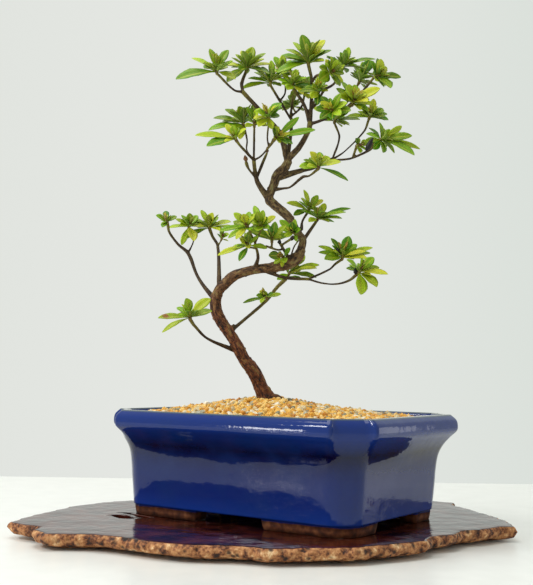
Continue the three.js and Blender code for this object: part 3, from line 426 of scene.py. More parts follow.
levels = np.concatenate([smooth_path(pot_outside, 5), smooth_path(pot_inside, 4)])
rings = np.stack([rounded(pot_corners(inset, z), 2.8, 8) for inset, z in levels])
waver = 0.25 * drift(rings, 38, 11) + 0.12 * drift(rings, 15, 12)
outward = rings * [1, 1, 0] / np.linalg.norm(rings * [1, 1, 0], axis=-1)[..., None]
rings = rings + outward * waver[..., None]
points, faces = shell(rings + [0, 0, POT_BASE])
pot = make_piece("glazed_pot", points, faces, [glazed_stoneware])
for sign_x in (-1, 1):
    for sign_y in (-1, 1):
        points, faces = foot_body(sign_x, sign_y)
        cut_out(pot, make_piece("foot", points + [0, 0, POT_BASE], faces, [glazed_stoneware]), "UNION")
for side in (-1, 1):
    a = np.linspace(0, 2 * np.pi, 33)[:-1]
    across, deep = DRAIN_RADIUS * np.cos(a) + side * DRAIN_PLACE, DRAIN_RADIUS * np.sin(a)
    points, faces = shell(np.stack([np.column_stack([across, deep, np.full(32, z)]) for z in (8.0, 40.0)]))
    cut_out(pot, make_piece("drain", points, faces, [glazed_stoneware]), "DIFFERENCE")
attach(pot, "root")
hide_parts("pot")

# Inside the pot, out of sight: squares of black plastic mesh over the drain holes, clips bent from brown
# aluminium wire that hold them, and the crumbly soil that the roots grow in.

# Moulded polyethylene is even and dull, and the wire's dyed anodised skin a soft bronze mirror. The soil is
# baked clay, crushed to crumbs of 3 mm, which scatter the light.
drain_plastic = mottled_material("polyethylene_mesh_moulded", "#1f2226", 400.0, 3.0, [
    (0.35, "#17191c"), (0.7, "#33302b"),
], {"Roughness": 0.55, "IOR": 1.5})
clip_wire = mottled_material("aluminium_wire_anodised", "#8a6a48", 900.0, 2.0, [
    (0.3, "#7d5c3c"), (0.7, "#9a7a55"),
], {"Metallic": 1.0, "Roughness": 0.38})
soil_crumbs, nodes = new_material("akadama_soil_crumbled", "#5a4028")
place = add(nodes, "TexCoord").outputs["Object"]
crumb = add(nodes, "TexVoronoi", {"Vector": place, "Scale": 300.0})
earth = add(nodes, "ValToRGB", {"Fac": crumb}, [(0.1, "#6d4f33"), (0.5, "#4d3622"), (0.9, "#2c1e13")])
crumbs = add(nodes, "Bump", {"Height": crumb, "Strength": 0.8, "Distance": 0.0015})
soil_shader = add(nodes, "BsdfPrincipled", {"Base Color": earth, "Roughness": 0.95, "Normal": crumbs})
add(nodes, "OutputMaterial", {"Surface": soil_shader})
for material, names in [
    (drain_plastic, ["drain_mesh_left", "drain_mesh_right"]),
    (clip_wire, ["mesh_clip_left", "mesh_clip_right"]), (soil_crumbs, ["soil"]),
]:
    for name in names:
        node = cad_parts[name]
        node.data.materials.clear()
        node.data.materials.append(material)

# The gravel. River grit of 3 to 4 mm, washed and sieved, strewn over the soil and heaped round the trunk.
# Most grains are amber, the rest cream or grey-green. They lie loose on the grit underneath.

# The tree's limbs, as the gravel is heaped round the trunk. Each is a path of places: across the tree's best
# side, away from the eye and up from the slab's top, and the wood's radius there.
limbs = {
    "trunk": [[-11, 9, 75, 5.2], [-14, 9, 82, 4.9], [-17, 9, 89, 4.9], [-21, 8, 96, 4.8],
        [-26, 8, 102, 4.2], [-30, 7, 109, 4.3], [-34, 7, 116, 4], [-38, 6, 122, 4], [-43, 5, 129, 4],
        [-46, 4, 136, 4], [-46, 3, 143, 3.8], [-44, 2, 149, 3.6], [-40, 1, 153, 3.6], [-35, -1, 158, 3.6],
        [-27, -3, 161, 3.2], [-18, -4, 163, 3.2], [-9, -5, 164, 3.5], [-2, -5, 166, 4.3],
        [3, -4, 168, 4.7], [9, -3, 172, 3.9], [11, -1, 178, 2.9], [12, 0, 184, 2.7], [8, 1, 189, 2.7],
        [5, 2, 195, 2.9], [1, 4, 201, 3.2], [-6, 5, 207, 3.4], [-11, 6, 212, 3.3], [-10, 7, 218, 2.9],
        [-8, 7, 223, 3.1], [-6, 7, 229, 3.3], [-1, 6, 234, 3.2], [2, 6, 239, 2.8]],
    "base_knob": [[-14, 9, 82, 3.4], [-10, 7, 82, 3.3]],
    "low_root": [[-12, 9, 75, 3.3], [-8, 7, 76, 3.1], [-4, 6, 77, 2.7], [3, 5, 72, 1.9]],
    "low_left": [[-34, 7, 109, 1.8], [-51, -7, 116, 1], [-59, -18, 124, 1.2], [-61, -20, 127, 1.4]],
    "low_right": [[-37, 6, 120, 2], [-33, 7, 124, 1.1], [-12, 11, 143, 0.9], [-5, 11, 152, 0.9],
        [1, 10, 158, 1]],
    "left": [[-47, 3, 143, 2], [-54, 8, 151, 1.4], [-60, 14, 160, 1.2], [-67, 21, 176, 1.4],
        [-74, 20, 182, 1], [-80, 17, 190, 1], [-81, 15, 195, 1.2]],
    "left_inner": [[-67, 21, 176, 1], [-64, 25, 184, 0.8], [-64, 27, 189, 0.8], [-67, 28, 194, 1.1]],
    "left_back": [[-44, 2, 153, 1.8], [-47, 31, 183, 1.2], [-51, 36, 190, 1.2], [-53, 38, 195, 1.4]],
    "left_back_spur": [[-47, 31, 182, 0.9], [-45, 31, 186, 0.8]],
    "front": [[-20, -4, 164, 1.8], [-18, -12, 170, 1.2], [-20, -22, 178, 1]],
    "front_left": [[-20, -22, 178, 0.9], [-24, -29, 186, 1]],
    "front_up": [[-20, -22, 178, 0.9], [-16, -25, 187, 1]],
    "front_spur": [[-19, -18, 175, 0.9], [-23, -24, 175, 0.9]],
    "elbow": [[3, -5, 170, 1.4], [-4, -13, 180, 1.1]],
    "elbow_stub": [[-3, -12, 178, 1], [4, -10, 183, 1.2]],
    "elbow_left": [[-1, -10, 176, 0.9], [-5, -13, 175, 1], [-13, -17, 177, 1]],
    "elbow_up": [[-9, -15, 176, 0.9], [-9, -16, 179, 1.1]],
    "strut": [[4, -6, 172, 0.9], [6, -8, 178, 0.8], [10, -4, 184, 0.8]],
    "right_low": [[12, 0, 183, 1.6], [22, 14, 199, 1.2]],
    "right_back": [[11, 1, 191, 1.5], [12, 10, 198, 1], [16, 20, 206, 1.2]],
    "sweep": [[-13, -5, 162, 1.8], [-6, -6, 159, 1.3], [2, -6, 157, 1.2], [17, -1, 157, 1.2]],
    "sweep_up": [[16, -1, 157, 1.1], [31, 9, 165, 1], [35, 12, 169, 1.1], [39, 13, 172, 1.3]],
    "sweep_down": [[16, -1, 157, 1.1], [25, -6, 154, 0.9], [34, -12, 153, 0.9], [42, -16, 155, 1.2],
        [47, -19, 159, 1.5]],
    "left_high": [[-12, 6, 213, 2.4], [-19, 4, 223, 1.7], [-21, 2, 230, 1.5], [-22, 1, 238, 1.4]],
    "left_high_bud": [[-20, 3, 226, 1.3], [-25, -1, 231, 1], [-27, -4, 235, 1.5], [-27, -4, 237, 0.7]],
    "left_high_low": [[-22, 1, 238, 1.2], [-31, -11, 245, 1.2], [-33, -14, 247, 1.3]],
    "left_high_back": [[-22, 1, 238, 1], [-27, 6, 246, 0.8], [-27, 11, 254, 0.9], [-29, 16, 264, 1.1]],
    "left_high_mid": [[-22, 1, 238, 1.1], [-22, -1, 260, 1.1]],
    "left_high_right": [[-22, 1, 238, 1.1], [-17, -4, 240, 0.9], [-11, -9, 246, 1.1], [-9, -10, 249, 1.5]],
    "left_high_front": [[-12, -8, 245, 0.9], [-13, -12, 251, 0.9], [-12, -17, 261, 1]],
    "left_high_spur": [[-20, 3, 226, 1.3], [-15, 7, 240, 1.3], [-13, 8, 245, 1]],
    "right_thin": [[-9, 7, 219, 1.8], [-2, 2, 219, 1], [3, -4, 219, 0.9], [11, -14, 224, 1.2],
        [15, -18, 224, 0.8], [20, -24, 227, 1.2]],
    "right_long": [[-4, 7, 228, 2.6], [12, 12, 234, 1.6], [19, 13, 236, 1.5], [25, 13, 239, 1.4],
        [33, 11, 242, 1.5]],
    "right_long_back": [[32, 11, 241, 1.1], [38, 26, 261, 1], [35, 31, 272, 1.2]],
    "right_long_up": [[33, 11, 242, 1.1], [41, 13, 248, 0.8], [55, 19, 264, 1], [58, 20, 272, 1.2]],
    "right_long_end": [[32, 11, 241, 1.2], [43, 1, 240, 1], [49, -6, 241, 1.1], [56, -11, 244, 1.3],
        [58, -13, 247, 2.2], [61, -15, 249, 1.4]],
    "right_long_spur": [[45, -2, 240, 1], [47, -9, 246, 1.3]],
    "top_left": [[1, 6, 239, 2.2], [-4, 2, 256, 2], [-14, -3, 267, 1.5], [-30, -7, 283, 1.5]],
    "top_left_far": [[-30, -7, 283, 1.3], [-36, -8, 284, 1], [-47, -10, 294, 1.2]],
    "top_left_up": [[-30, -7, 283, 1.4], [-31, -3, 290, 1.5], [-28, 5, 302, 1.3]],
    "top_mid": [[1, 6, 240, 1.8], [4, 18, 269, 1.2], [3, 20, 274, 1.2]],
    "top_mid_left": [[3, 19, 272, 1.1], [-11, 12, 293, 1.3]],
    "top_mid_up": [[-4, 15, 284, 1.1], [-1, 18, 290, 0.9], [-1, 21, 301, 1.2]],
    "top_mid_stub": [[3, 20, 274, 1.1], [5, 24, 290, 1.3]],
    "top_mid_back": [[3, 19, 273, 1.1], [11, 27, 283, 1], [13, 31, 292, 1.1]],
    "top_mid_low": [[7, 23, 277, 0.9], [5, 28, 282, 1]],
    "top_right": [[1, 6, 240, 2.4], [9, 2, 248, 2], [15, 0, 259, 1.8], [16, 0, 264, 1.9]],
    "apex": [[16, 0, 263, 1.7], [17, 4, 283, 1.4], [17, 6, 296, 1.3], [15, 7, 306, 1.4]],
    "apex_right": [[17, 6, 294, 1.2], [20, 0, 297, 1.4], [27, -9, 296, 1.4]],
    "top_right_left": [[16, 0, 263, 1.6], [12, 2, 277, 1.4], [4, 2, 289, 1.3]],
    "top_right_spur": [[17, 3, 276, 1.1], [21, -6, 283, 1.2]],
    "top_right_up": [[17, 3, 275, 1.4], [21, 6, 280, 1.2], [26, 10, 290, 1.2], [33, 14, 296, 1.1],
        [39, 19, 308, 1.2]],
    "top_right_out": [[17, 0, 264, 1.5], [20, -3, 264, 1.3], [32, -8, 268, 1.3], [43, -10, 274, 1.4]],
    "top_right_back": [[33, -8, 270, 1.1], [41, 2, 279, 0.9], [50, 14, 296, 1.2]],
    "top_right_far": [[38, -9, 271, 1.1], [47, -3, 281, 0.9], [51, -5, 285, 1.2], [59, 0, 296, 1.2]],
    "low_right_side": [[-12, 11, 143, 0.9], [-12, 9, 144, 0.9]],
    "trunk_high": [[10, 1, 187, 1.2], [7, -4, 187, 1]],
    "trunk_low": [[2, -6, 169, 1.2], [0, -9, 170, 1]],
    "top_right_out_mid": [[31, -8, 268, 1], [31, -10, 269, 0.9]],
}
limbs = {name: np.array(row, float) for name, row in limbs.items()}
MOUND_EDGE = 62.6
MOUND_RISE = 14.0
MOUND_SPREAD = 64.0
MOUND_POWER = 1.3
SOIL_TOP = 60.0
GRAIN = 3.6
GRAVEL_INSET = 10.4
BED_LENGTH, BED_WIDTH = 96, 70
CORNER_ROOM = 10.5
TRUNK_CLEAR = 6.9
AMBER, CREAM, GREY = 0.68, 0.2, 0.12
trunk_x, trunk_y = turned(limbs["trunk"][:1, :3])[0, :2]


def mound(x, y):
    """The gravel's height over the pot's feet. Its rise falls off round the trunk as exp(-distance ** power)
    and fades to a level rim at the walls."""
    far = (np.hypot(x - trunk_x, y - trunk_y) / MOUND_SPREAD) ** MOUND_POWER
    walls = (1 - np.clip(x / BED_LENGTH, -1, 1) ** 6) * (1 - np.clip(y / BED_WIDTH, -1, 1) ** 6)
    return MOUND_EDGE + MOUND_RISE * np.exp(-far) * walls


def stone_material(name, steps, roughness):
    """Grit of one stone: each grain has its own shade by the grain's tone, and a fine mottle inside it."""
    material, nodes = new_material(name, steps[len(steps) // 2][1])
    place = add(nodes, "TexCoord").outputs["Object"]
    mottle = add(nodes, "TexNoise", {"Vector": place, "Scale": 700.0, "Detail": 3.0})
    tone = add(nodes, "Attribute", attribute_name="tone").outputs["Fac"]
    mixed = add(nodes, "Mix", {0: 0.3, 2: tone, 3: mottle})
    colour = add(nodes, "ValToRGB", {"Fac": mixed}, steps)
    pitted = add(nodes, "Bump", {"Height": mottle, "Strength": 0.5, "Distance": 0.0004})
    shader = add(nodes, "BsdfPrincipled", {
        "Base Color": colour, "Roughness": roughness, "IOR": 1.54, "Normal": pitted,
    })
    add(nodes, "OutputMaterial", {"Surface": shader})
    return material


def grain_shape():
    """A ball of 42 points: an icosahedron with each of its faces cut into four."""
    g = (1 + np.sqrt(5)) / 2
    points = np.array([[-1, g, 0], [1, g, 0], [-1, -g, 0], [1, -g, 0], [0, -1, g], [0, 1, g], [0, -1, -g],
                       [0, 1, -g], [g, 0, -1], [g, 0, 1], [-g, 0, -1], [-g, 0, 1]])
    faces = np.array([[0, 11, 5], [0, 5, 1], [0, 1, 7], [0, 7, 10], [0, 10, 11], [1, 5, 9], [5, 11, 4],
                      [11, 10, 2], [10, 7, 6], [7, 1, 8], [3, 9, 4], [3, 4, 2], [3, 2, 6], [3, 6, 8],
                      [3, 8, 9], [4, 9, 5], [2, 4, 11], [6, 2, 10], [8, 6, 7], [9, 8, 1]])
    edges = np.sort(np.concatenate([faces[:, [0, 1]], faces[:, [1, 2]], faces[:, [2, 0]]]), axis=1)
    kinds, which = np.unique(edges, axis=0, return_inverse=True)
    a, b, c = which.reshape(3, -1) + len(points)
    points = np.concatenate([points, points[kinds].mean(1)])
    faces = np.concatenate([
        np.stack([faces[:, 0], a, c], 1), np.stack([faces[:, 1], b, a], 1),
        np.stack([faces[:, 2], c, b], 1), np.stack([a, b, c], 1),
    ])
    return points / np.linalg.norm(points, axis=1)[:, None], faces


def hold(piece, name, values):
    """Keeps a number, or a vector, for each of a piece's points, under a name that its material reads."""
    kind, key = ("FLOAT_VECTOR", "vector") if values.ndim == 2 else ("FLOAT", "value")
    held = piece.data.attributes.new(name, kind, "POINT")
    held.data.foreach_set(key, values.ravel().astype(np.float32))


def turns(random, count):
    """A turn matrix for each of a count of grains, from random unit quaternions."""
    q = random.normal(size=(count, 4))
    w, x, y, z = (q / np.linalg.norm(q, axis=1)[:, None]).T
    return np.stack([
        1 - 2 * (y * y + z * z), 2 * (x * y - z * w), 2 * (x * z + y * w),
        2 * (x * y + z * w), 1 - 2 * (x * x + z * z), 2 * (y * z - x * w),
        2 * (x * z - y * w), 2 * (y * z + x * w), 1 - 2 * (x * x + y * y),
    ], -1).reshape(-1, 3, 3)


# Quartz washed smooth keeps a soft shine, and slate is duller.
amber_grit = stone_material("quartz_grit_amber", [
    (0.15, "#bd7812"), (0.35, "#dc9f2c"), (0.6, "#ecb84a"), (0.85, "#f4d182"),
], 0.45)
cream_grit = stone_material("quartz_grit_cream", [
    (0.15, "#b39a66"), (0.4, "#d4c294"), (0.65, "#e6d9b8"), (0.9, "#f3ecda"),
], 0.45)
grey_grit = stone_material("slate_grit_grey", [
    (0.15, "#716a4e"), (0.4, "#969073"), (0.65, "#aca88c"), (0.9, "#c3c1ac"),
], 0.6)

random = np.random.default_rng(21)
pitch = GRAIN * 0.86
across = np.arange(-BED_LENGTH, BED_LENGTH + 1, pitch)
across, deep = np.meshgrid(across, np.arange(-BED_WIDTH, BED_WIDTH + 1, pitch * 0.87))
across = across + pitch / 2 * (np.arange(len(across)) % 2)[:, None]
spots = np.stack([across, deep], -1).reshape(-1, 2)
spots = spots + random.normal(0, 0.17 * GRAIN, spots.shape)
room = np.array([POT_LENGTH, POT_WIDTH]) / 2 - GRAVEL_INSET - GRAIN / 2
in_walls = (np.abs(spots) < room).all(1) & (np.abs(spots).sum(1) < room.sum() - CORNER_ROOM)
spots = spots[in_walls & (np.hypot(*(spots - [trunk_x, trunk_y]).T) > TRUNK_CLEAR)]
count = len(spots)
size = GRAIN / 2 * random.uniform(0.7, 1.3, (count, 1)) * random.uniform(0.68, 1.22, (count, 3))
ball, ball_faces = grain_shape()
dents = 1 + 0.17 * random.normal(size=(count, len(ball), 1)).clip(-1.4, 1.4)
grains = np.einsum("nij,nkj->nki", turns(random, count), ball[None] * size[:, None] * dents)
from_trunk = np.hypot(*(spots - [trunk_x, trunk_y]).T)
height = mound(*spots.T) + random.uniform(-0.9, 0.75, count) - 1.8 * np.exp(-(from_trunk / 10) ** 2)
grains += np.column_stack([spots, height + POT_BASE])[:, None]
kind = random.choice(3, count, p=[AMBER, CREAM, GREY])
tone = random.random(count)
for number, (name, material) in enumerate([
    ("gravel_amber", amber_grit), ("gravel_cream", cream_grit), ("gravel_grey", grey_grit),
]):
    chosen = np.flatnonzero(kind == number)
    faces = (ball_faces[None] + (np.arange(len(chosen)) * len(ball))[:, None, None]).reshape(-1, 3)
    gravel = make_piece(name, grains[chosen].reshape(-1, 3), [faces], [material], smooth=False)
    hold(gravel, "tone", np.repeat(tone[chosen], len(ball)))
    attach(gravel, "root")
    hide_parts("gravel")

# The grit under the top grains, the same stone, poured in before them. It is one bed here, as it shows only
# in the dark gaps between them, and its browns are darker than the grains': painted shade of the gaps.
grit_bed, nodes = new_material("grit_bed_in_shade", "#7a5430")
place = add(nodes, "TexCoord").outputs["Object"]
cells = add(nodes, "TexVoronoi", {"Vector": place, "Scale": 1000 / GRAIN})
shade = add(nodes, "ValToRGB", {"Fac": cells}, [(0.1, "#9a6a34"), (0.6, "#5c3d20"), (1.0, "#2f2013")])
shader = add(nodes, "BsdfPrincipled", {"Base Color": shade, "Roughness": 0.9})
add(nodes, "OutputMaterial", {"Surface": shader})
bed_foot = SOIL_TOP + 0.2 + POT_BASE
bed_rings = []
for part in np.linspace(0.03, 1, 26):
    ring = rounded(pot_corners(GRAVEL_INSET, 0), 3, 8) * [part, part, 0]
    ring[:, 2] = mound(*ring[:, :2].T) - 1.4 + POT_BASE
    bed_rings.append(ring)
for inset, z in [(GRAVEL_INSET + 0.2, 63.5 + POT_BASE), (GRAVEL_INSET + 1, bed_foot)]:
    bed_rings.append(rounded(pot_corners(inset, z), 3, 8))
for part in (0.7, 0.35, 0.03):
    bed_rings.append(rounded(pot_corners(GRAVEL_INSET + 1, 0), 3, 8) * [part, part, 0] + [0, 0, bed_foot])
points, faces = shell(np.array(bed_rings))
bed = make_piece("gravel_bed", points, faces, [grit_bed])
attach(bed, "root")
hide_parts("gravel")

# The wood. Grown as one: a crown of surface roots, a trunk some 10 mm thick that leans and sweeps back
# twice, and twigs that fork down to 2 mm. The bark is thin and flaky, with ridges that run along the wood.
ROOT_LEAN = 0.33
SKIN_CELL = 0.51
GREY_FROM, GREY_OVER = 118.0, 70.0
FOOT_SHADE_UNDER = 80.0
YOUNG_END, YOUNG_LOW_END = 9.0, 42.0
GRAIN_SHIFT = 57.0

# Down the root crown: height, radius, and how deep its lobes are cut. The swellings are a knob on the root
# and the healed stub of a lost branch.
root_levels = np.array([[86, 4.8, 0.02], [80, 5, 0.04], [77, 5.3, 0.1], [72, 7.2, 0.35], [52, 7, 0.2]])
swellings = [
    np.array([[-10, 8, 73, 4.6], [-9.2, 8, 78.5, 3.9], [-9.6, 8, 81.2, 2.6]]),
    np.array([[-36, 6.4, 121, 1.8], [-34.3, 6.6, 124.4, 1.6], [-33.8, 6.6, 126, 1.0]]),
]


def unit(v):
    """Vectors of length one in the same directions."""
    return v / np.maximum(np.linalg.norm(v, axis=-1, keepdims=True), 1e-9)


def frames(path):
    """Directions along a path, across it and square to both, where across comes from a fixed direction."""
    along = unit(np.gradient(path, axis=0))
    fixed = np.eye(3)[np.abs(along @ np.eye(3)).max(0).argmin()]
    across = unit(fixed - along * (along @ fixed)[:, None])
    return along, across, np.cross(along, across)


def bar(places, parts, sides):
    """Rings round a limb's smooth path, with rounded ends. Each place has a radius as its fourth number."""
    line = smooth_path(places, parts)
    path, radius = line[:, :3], line[:, 3]
    along, across, square = frames(path)
    first, last = path[0] - along[0] * radius[0] * 0.5, path[-1] + along[-1] * radius[-1] * 0.45
    path = np.concatenate([[first], path, [last]])
    pick = np.r_[0, np.arange(len(along)), len(along) - 1]
    radius = radius[pick] * np.r_[0.6, np.ones(len(along)), 0.6]
    turn = (np.arange(sides) / sides * 2 * np.pi)[None, :, None]
    ring = np.cos(turn) * across[pick][:, None] + np.sin(turn) * square[pick][:, None]
    return path[:, None] + ring * radius[:, None, None]


def joined(skins):
    """One mesh of several skins: their points in a row, and their faces, numbered on from skin to skin."""
    starts = np.cumsum([0] + [len(points) for points, _ in skins])
    faces = [block + start for start, (_, blocks) in zip(starts, skins) for block in blocks]
    return np.concatenate([points for points, _ in skins]), faces


def rows_of(items, key):
    """The three numbers that each of a mesh's items has under a key, as rows."""
    values = np.empty(3 * len(items), np.float32)
    items.foreach_get(key, values)
    return values.reshape(-1, 3).astype(float)


def root_crown():
    """Rings down the root crown: circles with five lobes, which lean as the trunk does."""
    levels = smooth_path(root_levels, 5)
    z, r, lobe = levels.T
    a = np.arange(48) / 48 * 2 * np.pi
    reach = r[:, None] * (1 + lobe[:, None] * np.cos(5 * a - 0.9)[None])
    x = limbs["trunk"][0, 0] - ROOT_LEAN * np.maximum(0, z - 72)
    return np.stack([
        x[:, None] + reach * np.cos(a), limbs["trunk"][0, 1] + reach * np.sin(a), z[:, None] + 0 * reach,
    ], -1)


# Bark, grown in thin flakes that leave streaks along the wood: dark red-brown low on the trunk, grey-brown
# higher up, green-brown where a twig is young, with patches of moss. Painted shade darkens the right side of
# the foot just above the gravel. It has no gloss.
bark, nodes = new_material("azalea_bark_grown", "#4b3324")
grain = add(nodes, "Attribute", attribute_name="grain").outputs["Vector"]
girth = add(nodes, "Attribute", attribute_name="girth").outputs["Fac"]
rise = add(nodes, "Attribute", attribute_name="rise").outputs["Fac"]
streaks = add(nodes, "TexNoise", {"Vector": grain, "Scale": 0.7, "Detail": 6.0, "Roughness": 0.7})
patches = add(nodes, "TexNoise", {"Vector": grain, "Scale": 0.28, "Detail": 4.0, "Roughness": 0.6})
mixed = add(nodes, "Mix", {0: 0.45, 2: streaks, 3: patches})
low_bark = add(nodes, "ValToRGB", {"Fac": mixed}, [
    (0.38, "#0c0502"), (0.45, "#3c1c0b"), (0.52, "#6d3b1f"), (0.62, "#9c6a3c"),
])
high_bark = add(nodes, "ValToRGB", {"Fac": mixed}, [
    (0.38, "#160f07"), (0.46, "#3e2e1a"), (0.52, "#6e5533"), (0.58, "#837549"), (0.67, "#aa9d70"),
])
twig_bark = add(nodes, "ValToRGB", {"Fac": streaks}, [(0.3, "#130c06"), (0.5, "#372714"), (0.7, "#65512b")])
young_bark = add(nodes, "ValToRGB", {"Fac": streaks}, [
    (0.35, "#4d3f16"), (0.5, "#6c6028"), (0.68, "#8a8a2e"),
])
trunk_bark = add(nodes, "Mix", {0: rise, 6: low_bark, 7: high_bark}, data_type="RGBA")
moss = add(nodes, "MapRange", {"Value": patches, "From Min": 0.56, "From Max": 0.66, "To Max": 0.5})
mossy = add(nodes, "Mix", {0: moss, 6: trunk_bark, 7: from_hex("#6a6a3c")}, data_type="RGBA")
old_bark = add(nodes, "Mix", {0: girth, 6: twig_bark, 7: mossy}, data_type="RGBA")
young = add(nodes, "Attribute", attribute_name="young").outputs["Fac"]
greener = add(nodes, "Mix", {0: young, 6: old_bark, 7: young_bark}, data_type="RGBA")
foot_shade = add(nodes, "Attribute", attribute_name="foot_shade").outputs["Fac"]
all_bark = add(nodes, "Mix", {0: foot_shade, 6: greener, 7: from_hex("#191a10")}, data_type="RGBA")
flakes = add(nodes, "Bump", {"Height": streaks, "Strength": 0.6, "Distance": 0.0006})
bark_shader = add(nodes, "BsdfPrincipled", {
    "Base Color": all_bark, "Roughness": 0.78, "IOR": 1.45, "Normal": flakes,
})
add(nodes, "OutputMaterial", {"Surface": bark_shader})

bars = []
for name, places in limbs.items():
    spans = np.linalg.norm(np.diff(places[:, :3], axis=0), axis=1)
    slender = places * [1, 1, 1, np.clip(0.6 + 0.22 * places[0, 3], 0.85, 1.06) if places[0, 3] < 2.7 else 1]
    if name == "low_right":
        slender[:, 3] *= np.linspace(1.1, 1.6, len(places))
    bars.append(bar(slender, max(3, int(spans.max() / 1.6)), 40 if name == "trunk" else 14))
bars += [root_crown()] + [bar(places, 5, 24) for places in swellings]
points, faces = joined([shell(rings) for rings in bars])
wood = make_piece("trunk_and_twigs", points, faces, [bark])
join = wood.modifiers.new("grown_together", "REMESH")
join.mode, join.voxel_size = "VOXEL", SKIN_CELL / 1000
applied(wood)
skin = rows_of(wood.data.vertices, "co") * 1000
normals = rows_of(wood.data.vertex_normals, "vector")

# Each point of the bark takes its grain and its ridges from the nearest place on a limb's core: a path, its
# radius, the directions across it and square to it, the way along it, and how young it is there.
core = []
for number, (name, places) in enumerate(limbs.items()):
    line = smooth_path(places, 8)
    along, across, square = frames(line[:, :3])
    way = np.r_[0, np.cumsum(np.linalg.norm(np.diff(line[:, :3], axis=0), axis=1))]
    green = YOUNG_LOW_END if "low_right" in name else YOUNG_END
    young = np.clip(1.2 - (way[-1] - way) / green, 0, 1) * (places[0, 3] < 2.5)
    core.append(np.column_stack([line, across, square, way + GRAIN_SHIFT * number, young]))
core = np.concatenate(core)
path, radius = core[:, :3].copy(), core[:, 3].copy()
nearest = np.concatenate([
    ((part ** 2).sum(1)[:, None] - 2 * part @ path.T + (path ** 2).sum(1) - radius ** 2).argmin(1)
    for part in np.array_split(skin, 40)
])
near = core[nearest]
offset, near_radius = skin - near[:, :3], near[:, 3]
across, square = (offset * near[:, 4:7]).sum(1), (offset * near[:, 7:10]).sum(1)
grain_place = np.column_stack([across, square, 0.5 * near[:, 10]])

# Ridges run along the grain, and burrs stand out where a slower drift passes a limit. Both grow with girth.
thick = np.clip((near_radius - 1.2) / 5, 0, 1)
ridges = 0.55 * drift(grain_place, 1.6, 31) + 0.4 * drift(grain_place, 0.8, 32)
burrs = np.maximum(0, drift(grain_place * [1, 1, 3], 3.2, 33) - 0.35)
push = ridges * (0.07 + 0.42 * thick) + burrs * (0.2 + 1.3 * thick) - 0.12
skin = skin + normals * push[:, None]
wood.data.vertices.foreach_set("co", ((turned(skin) + [0, 0, SLAB_TOP]) * 0.001).ravel().astype(np.float32))
hold(wood, "grain", grain_place)
hold(wood, "girth", np.clip((near_radius - 1.3) / 1.6, 0, 1))
hold(wood, "rise", np.clip((skin[:, 2] - GREY_FROM) / GREY_OVER, 0, 1))
hold(wood, "young", near[:, 11])
# Painted shade: the trunk's foot is darkened on its right side, just above the gravel.
right_foot_shade = np.clip((FOOT_SHADE_UNDER - skin[:, 2]) / 4, 0, 1) * np.clip((skin[:, 0] + 12) / 4, 0, 1)
hold(wood, "foot_shade", 0.8 * right_foot_shade)
wood.data.polygons.foreach_set("use_smooth", np.ones(len(wood.data.polygons), bool))
wood.data.update()
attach(wood, "root")
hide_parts("trunk_and_branches")

# Resting buds, and dried ones that never opened: small eggs of scales laid over each other. They grew on the
# twigs, and each stands there by its base.
buds = {
    "dried_right": ([52, -25, 240], [56, -27, 248], 1.8, 0.0),
    "dried_elbow": ([-4, -13, 179], [-4, -14, 182], 1.2, 0.0),
    "dried_up": ([37, 10, 176], [36, 10, 180], 1.2, 0.0),
    "dried_down": ([46, -20, 159], [46, -20, 163], 1.4, 0.0),
    "bud_left_high": ([-27, -4, 236], [-28, -5, 240], 1.4, 0.5),
    "bud_spur": ([-13, 8, 245], [-13, 8, 249], 1.2, 0.45),
    "bud_stub": ([4, -10, 182], [5, -11, 185], 1.3, 0.2),
}

# Bud scales, grown thin and dry: brown, or nearly black where the bud has died, with a faint sheen.
bud_scale, nodes = new_material("azalea_bud_scales", "#6b4028")
place = add(nodes, "TexCoord").outputs["Object"]
fleck = add(nodes, "TexNoise", {"Vector": place, "Scale": 500.0, "Detail": 3.0})
tone = add(nodes, "Attribute", attribute_name="tone").outputs["Fac"]
shade = add(nodes, "Mix", {0: 0.3, 2: tone, 3: fleck})
bud_colour = add(nodes, "ValToRGB", {"Fac": shade}, [
    (0.22, "#0a0807"), (0.34, "#33200f"), (0.55, "#7d5230"), (0.85, "#948c48"),
])
bud_shader = add(nodes, "BsdfPrincipled", {"Base Color": bud_colour, "Roughness": 0.55, "IOR": 1.45})
add(nodes, "OutputMaterial", {"Surface": bud_shader})
bud_skins = []
for base, top, radius, tone in buds.values():
    stretch = [
        [*(np.array(base) * (1 - part) + np.array(top) * part), radius * full]
        for part, full in [(0, 0.5), (0.3, 1), (0.65, 0.85), (1, 0.25)]
    ]
    points, faces = shell(bar(np.array(stretch), 4, 12))
    bud_skins.append((points + 0.25 * drift(points, 1.2, 41)[:, None], faces))
points, faces = joined(bud_skins)
resting = make_piece("resting_buds", turned(points) + [0, 0, SLAB_TOP], faces, [bud_scale])
hold(resting, "tone", np.repeat([tone for *_, tone in buds.values()], [len(skin) for skin, _ in bud_skins]))
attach(resting, "root")
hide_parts("trunk_and_branches")

# The leafy shoots. Each stands on the end of a twig: a short green-brown stem, leaves round it that arch out
# from its length, and a bud of brown scales and folded young leaves in the middle.

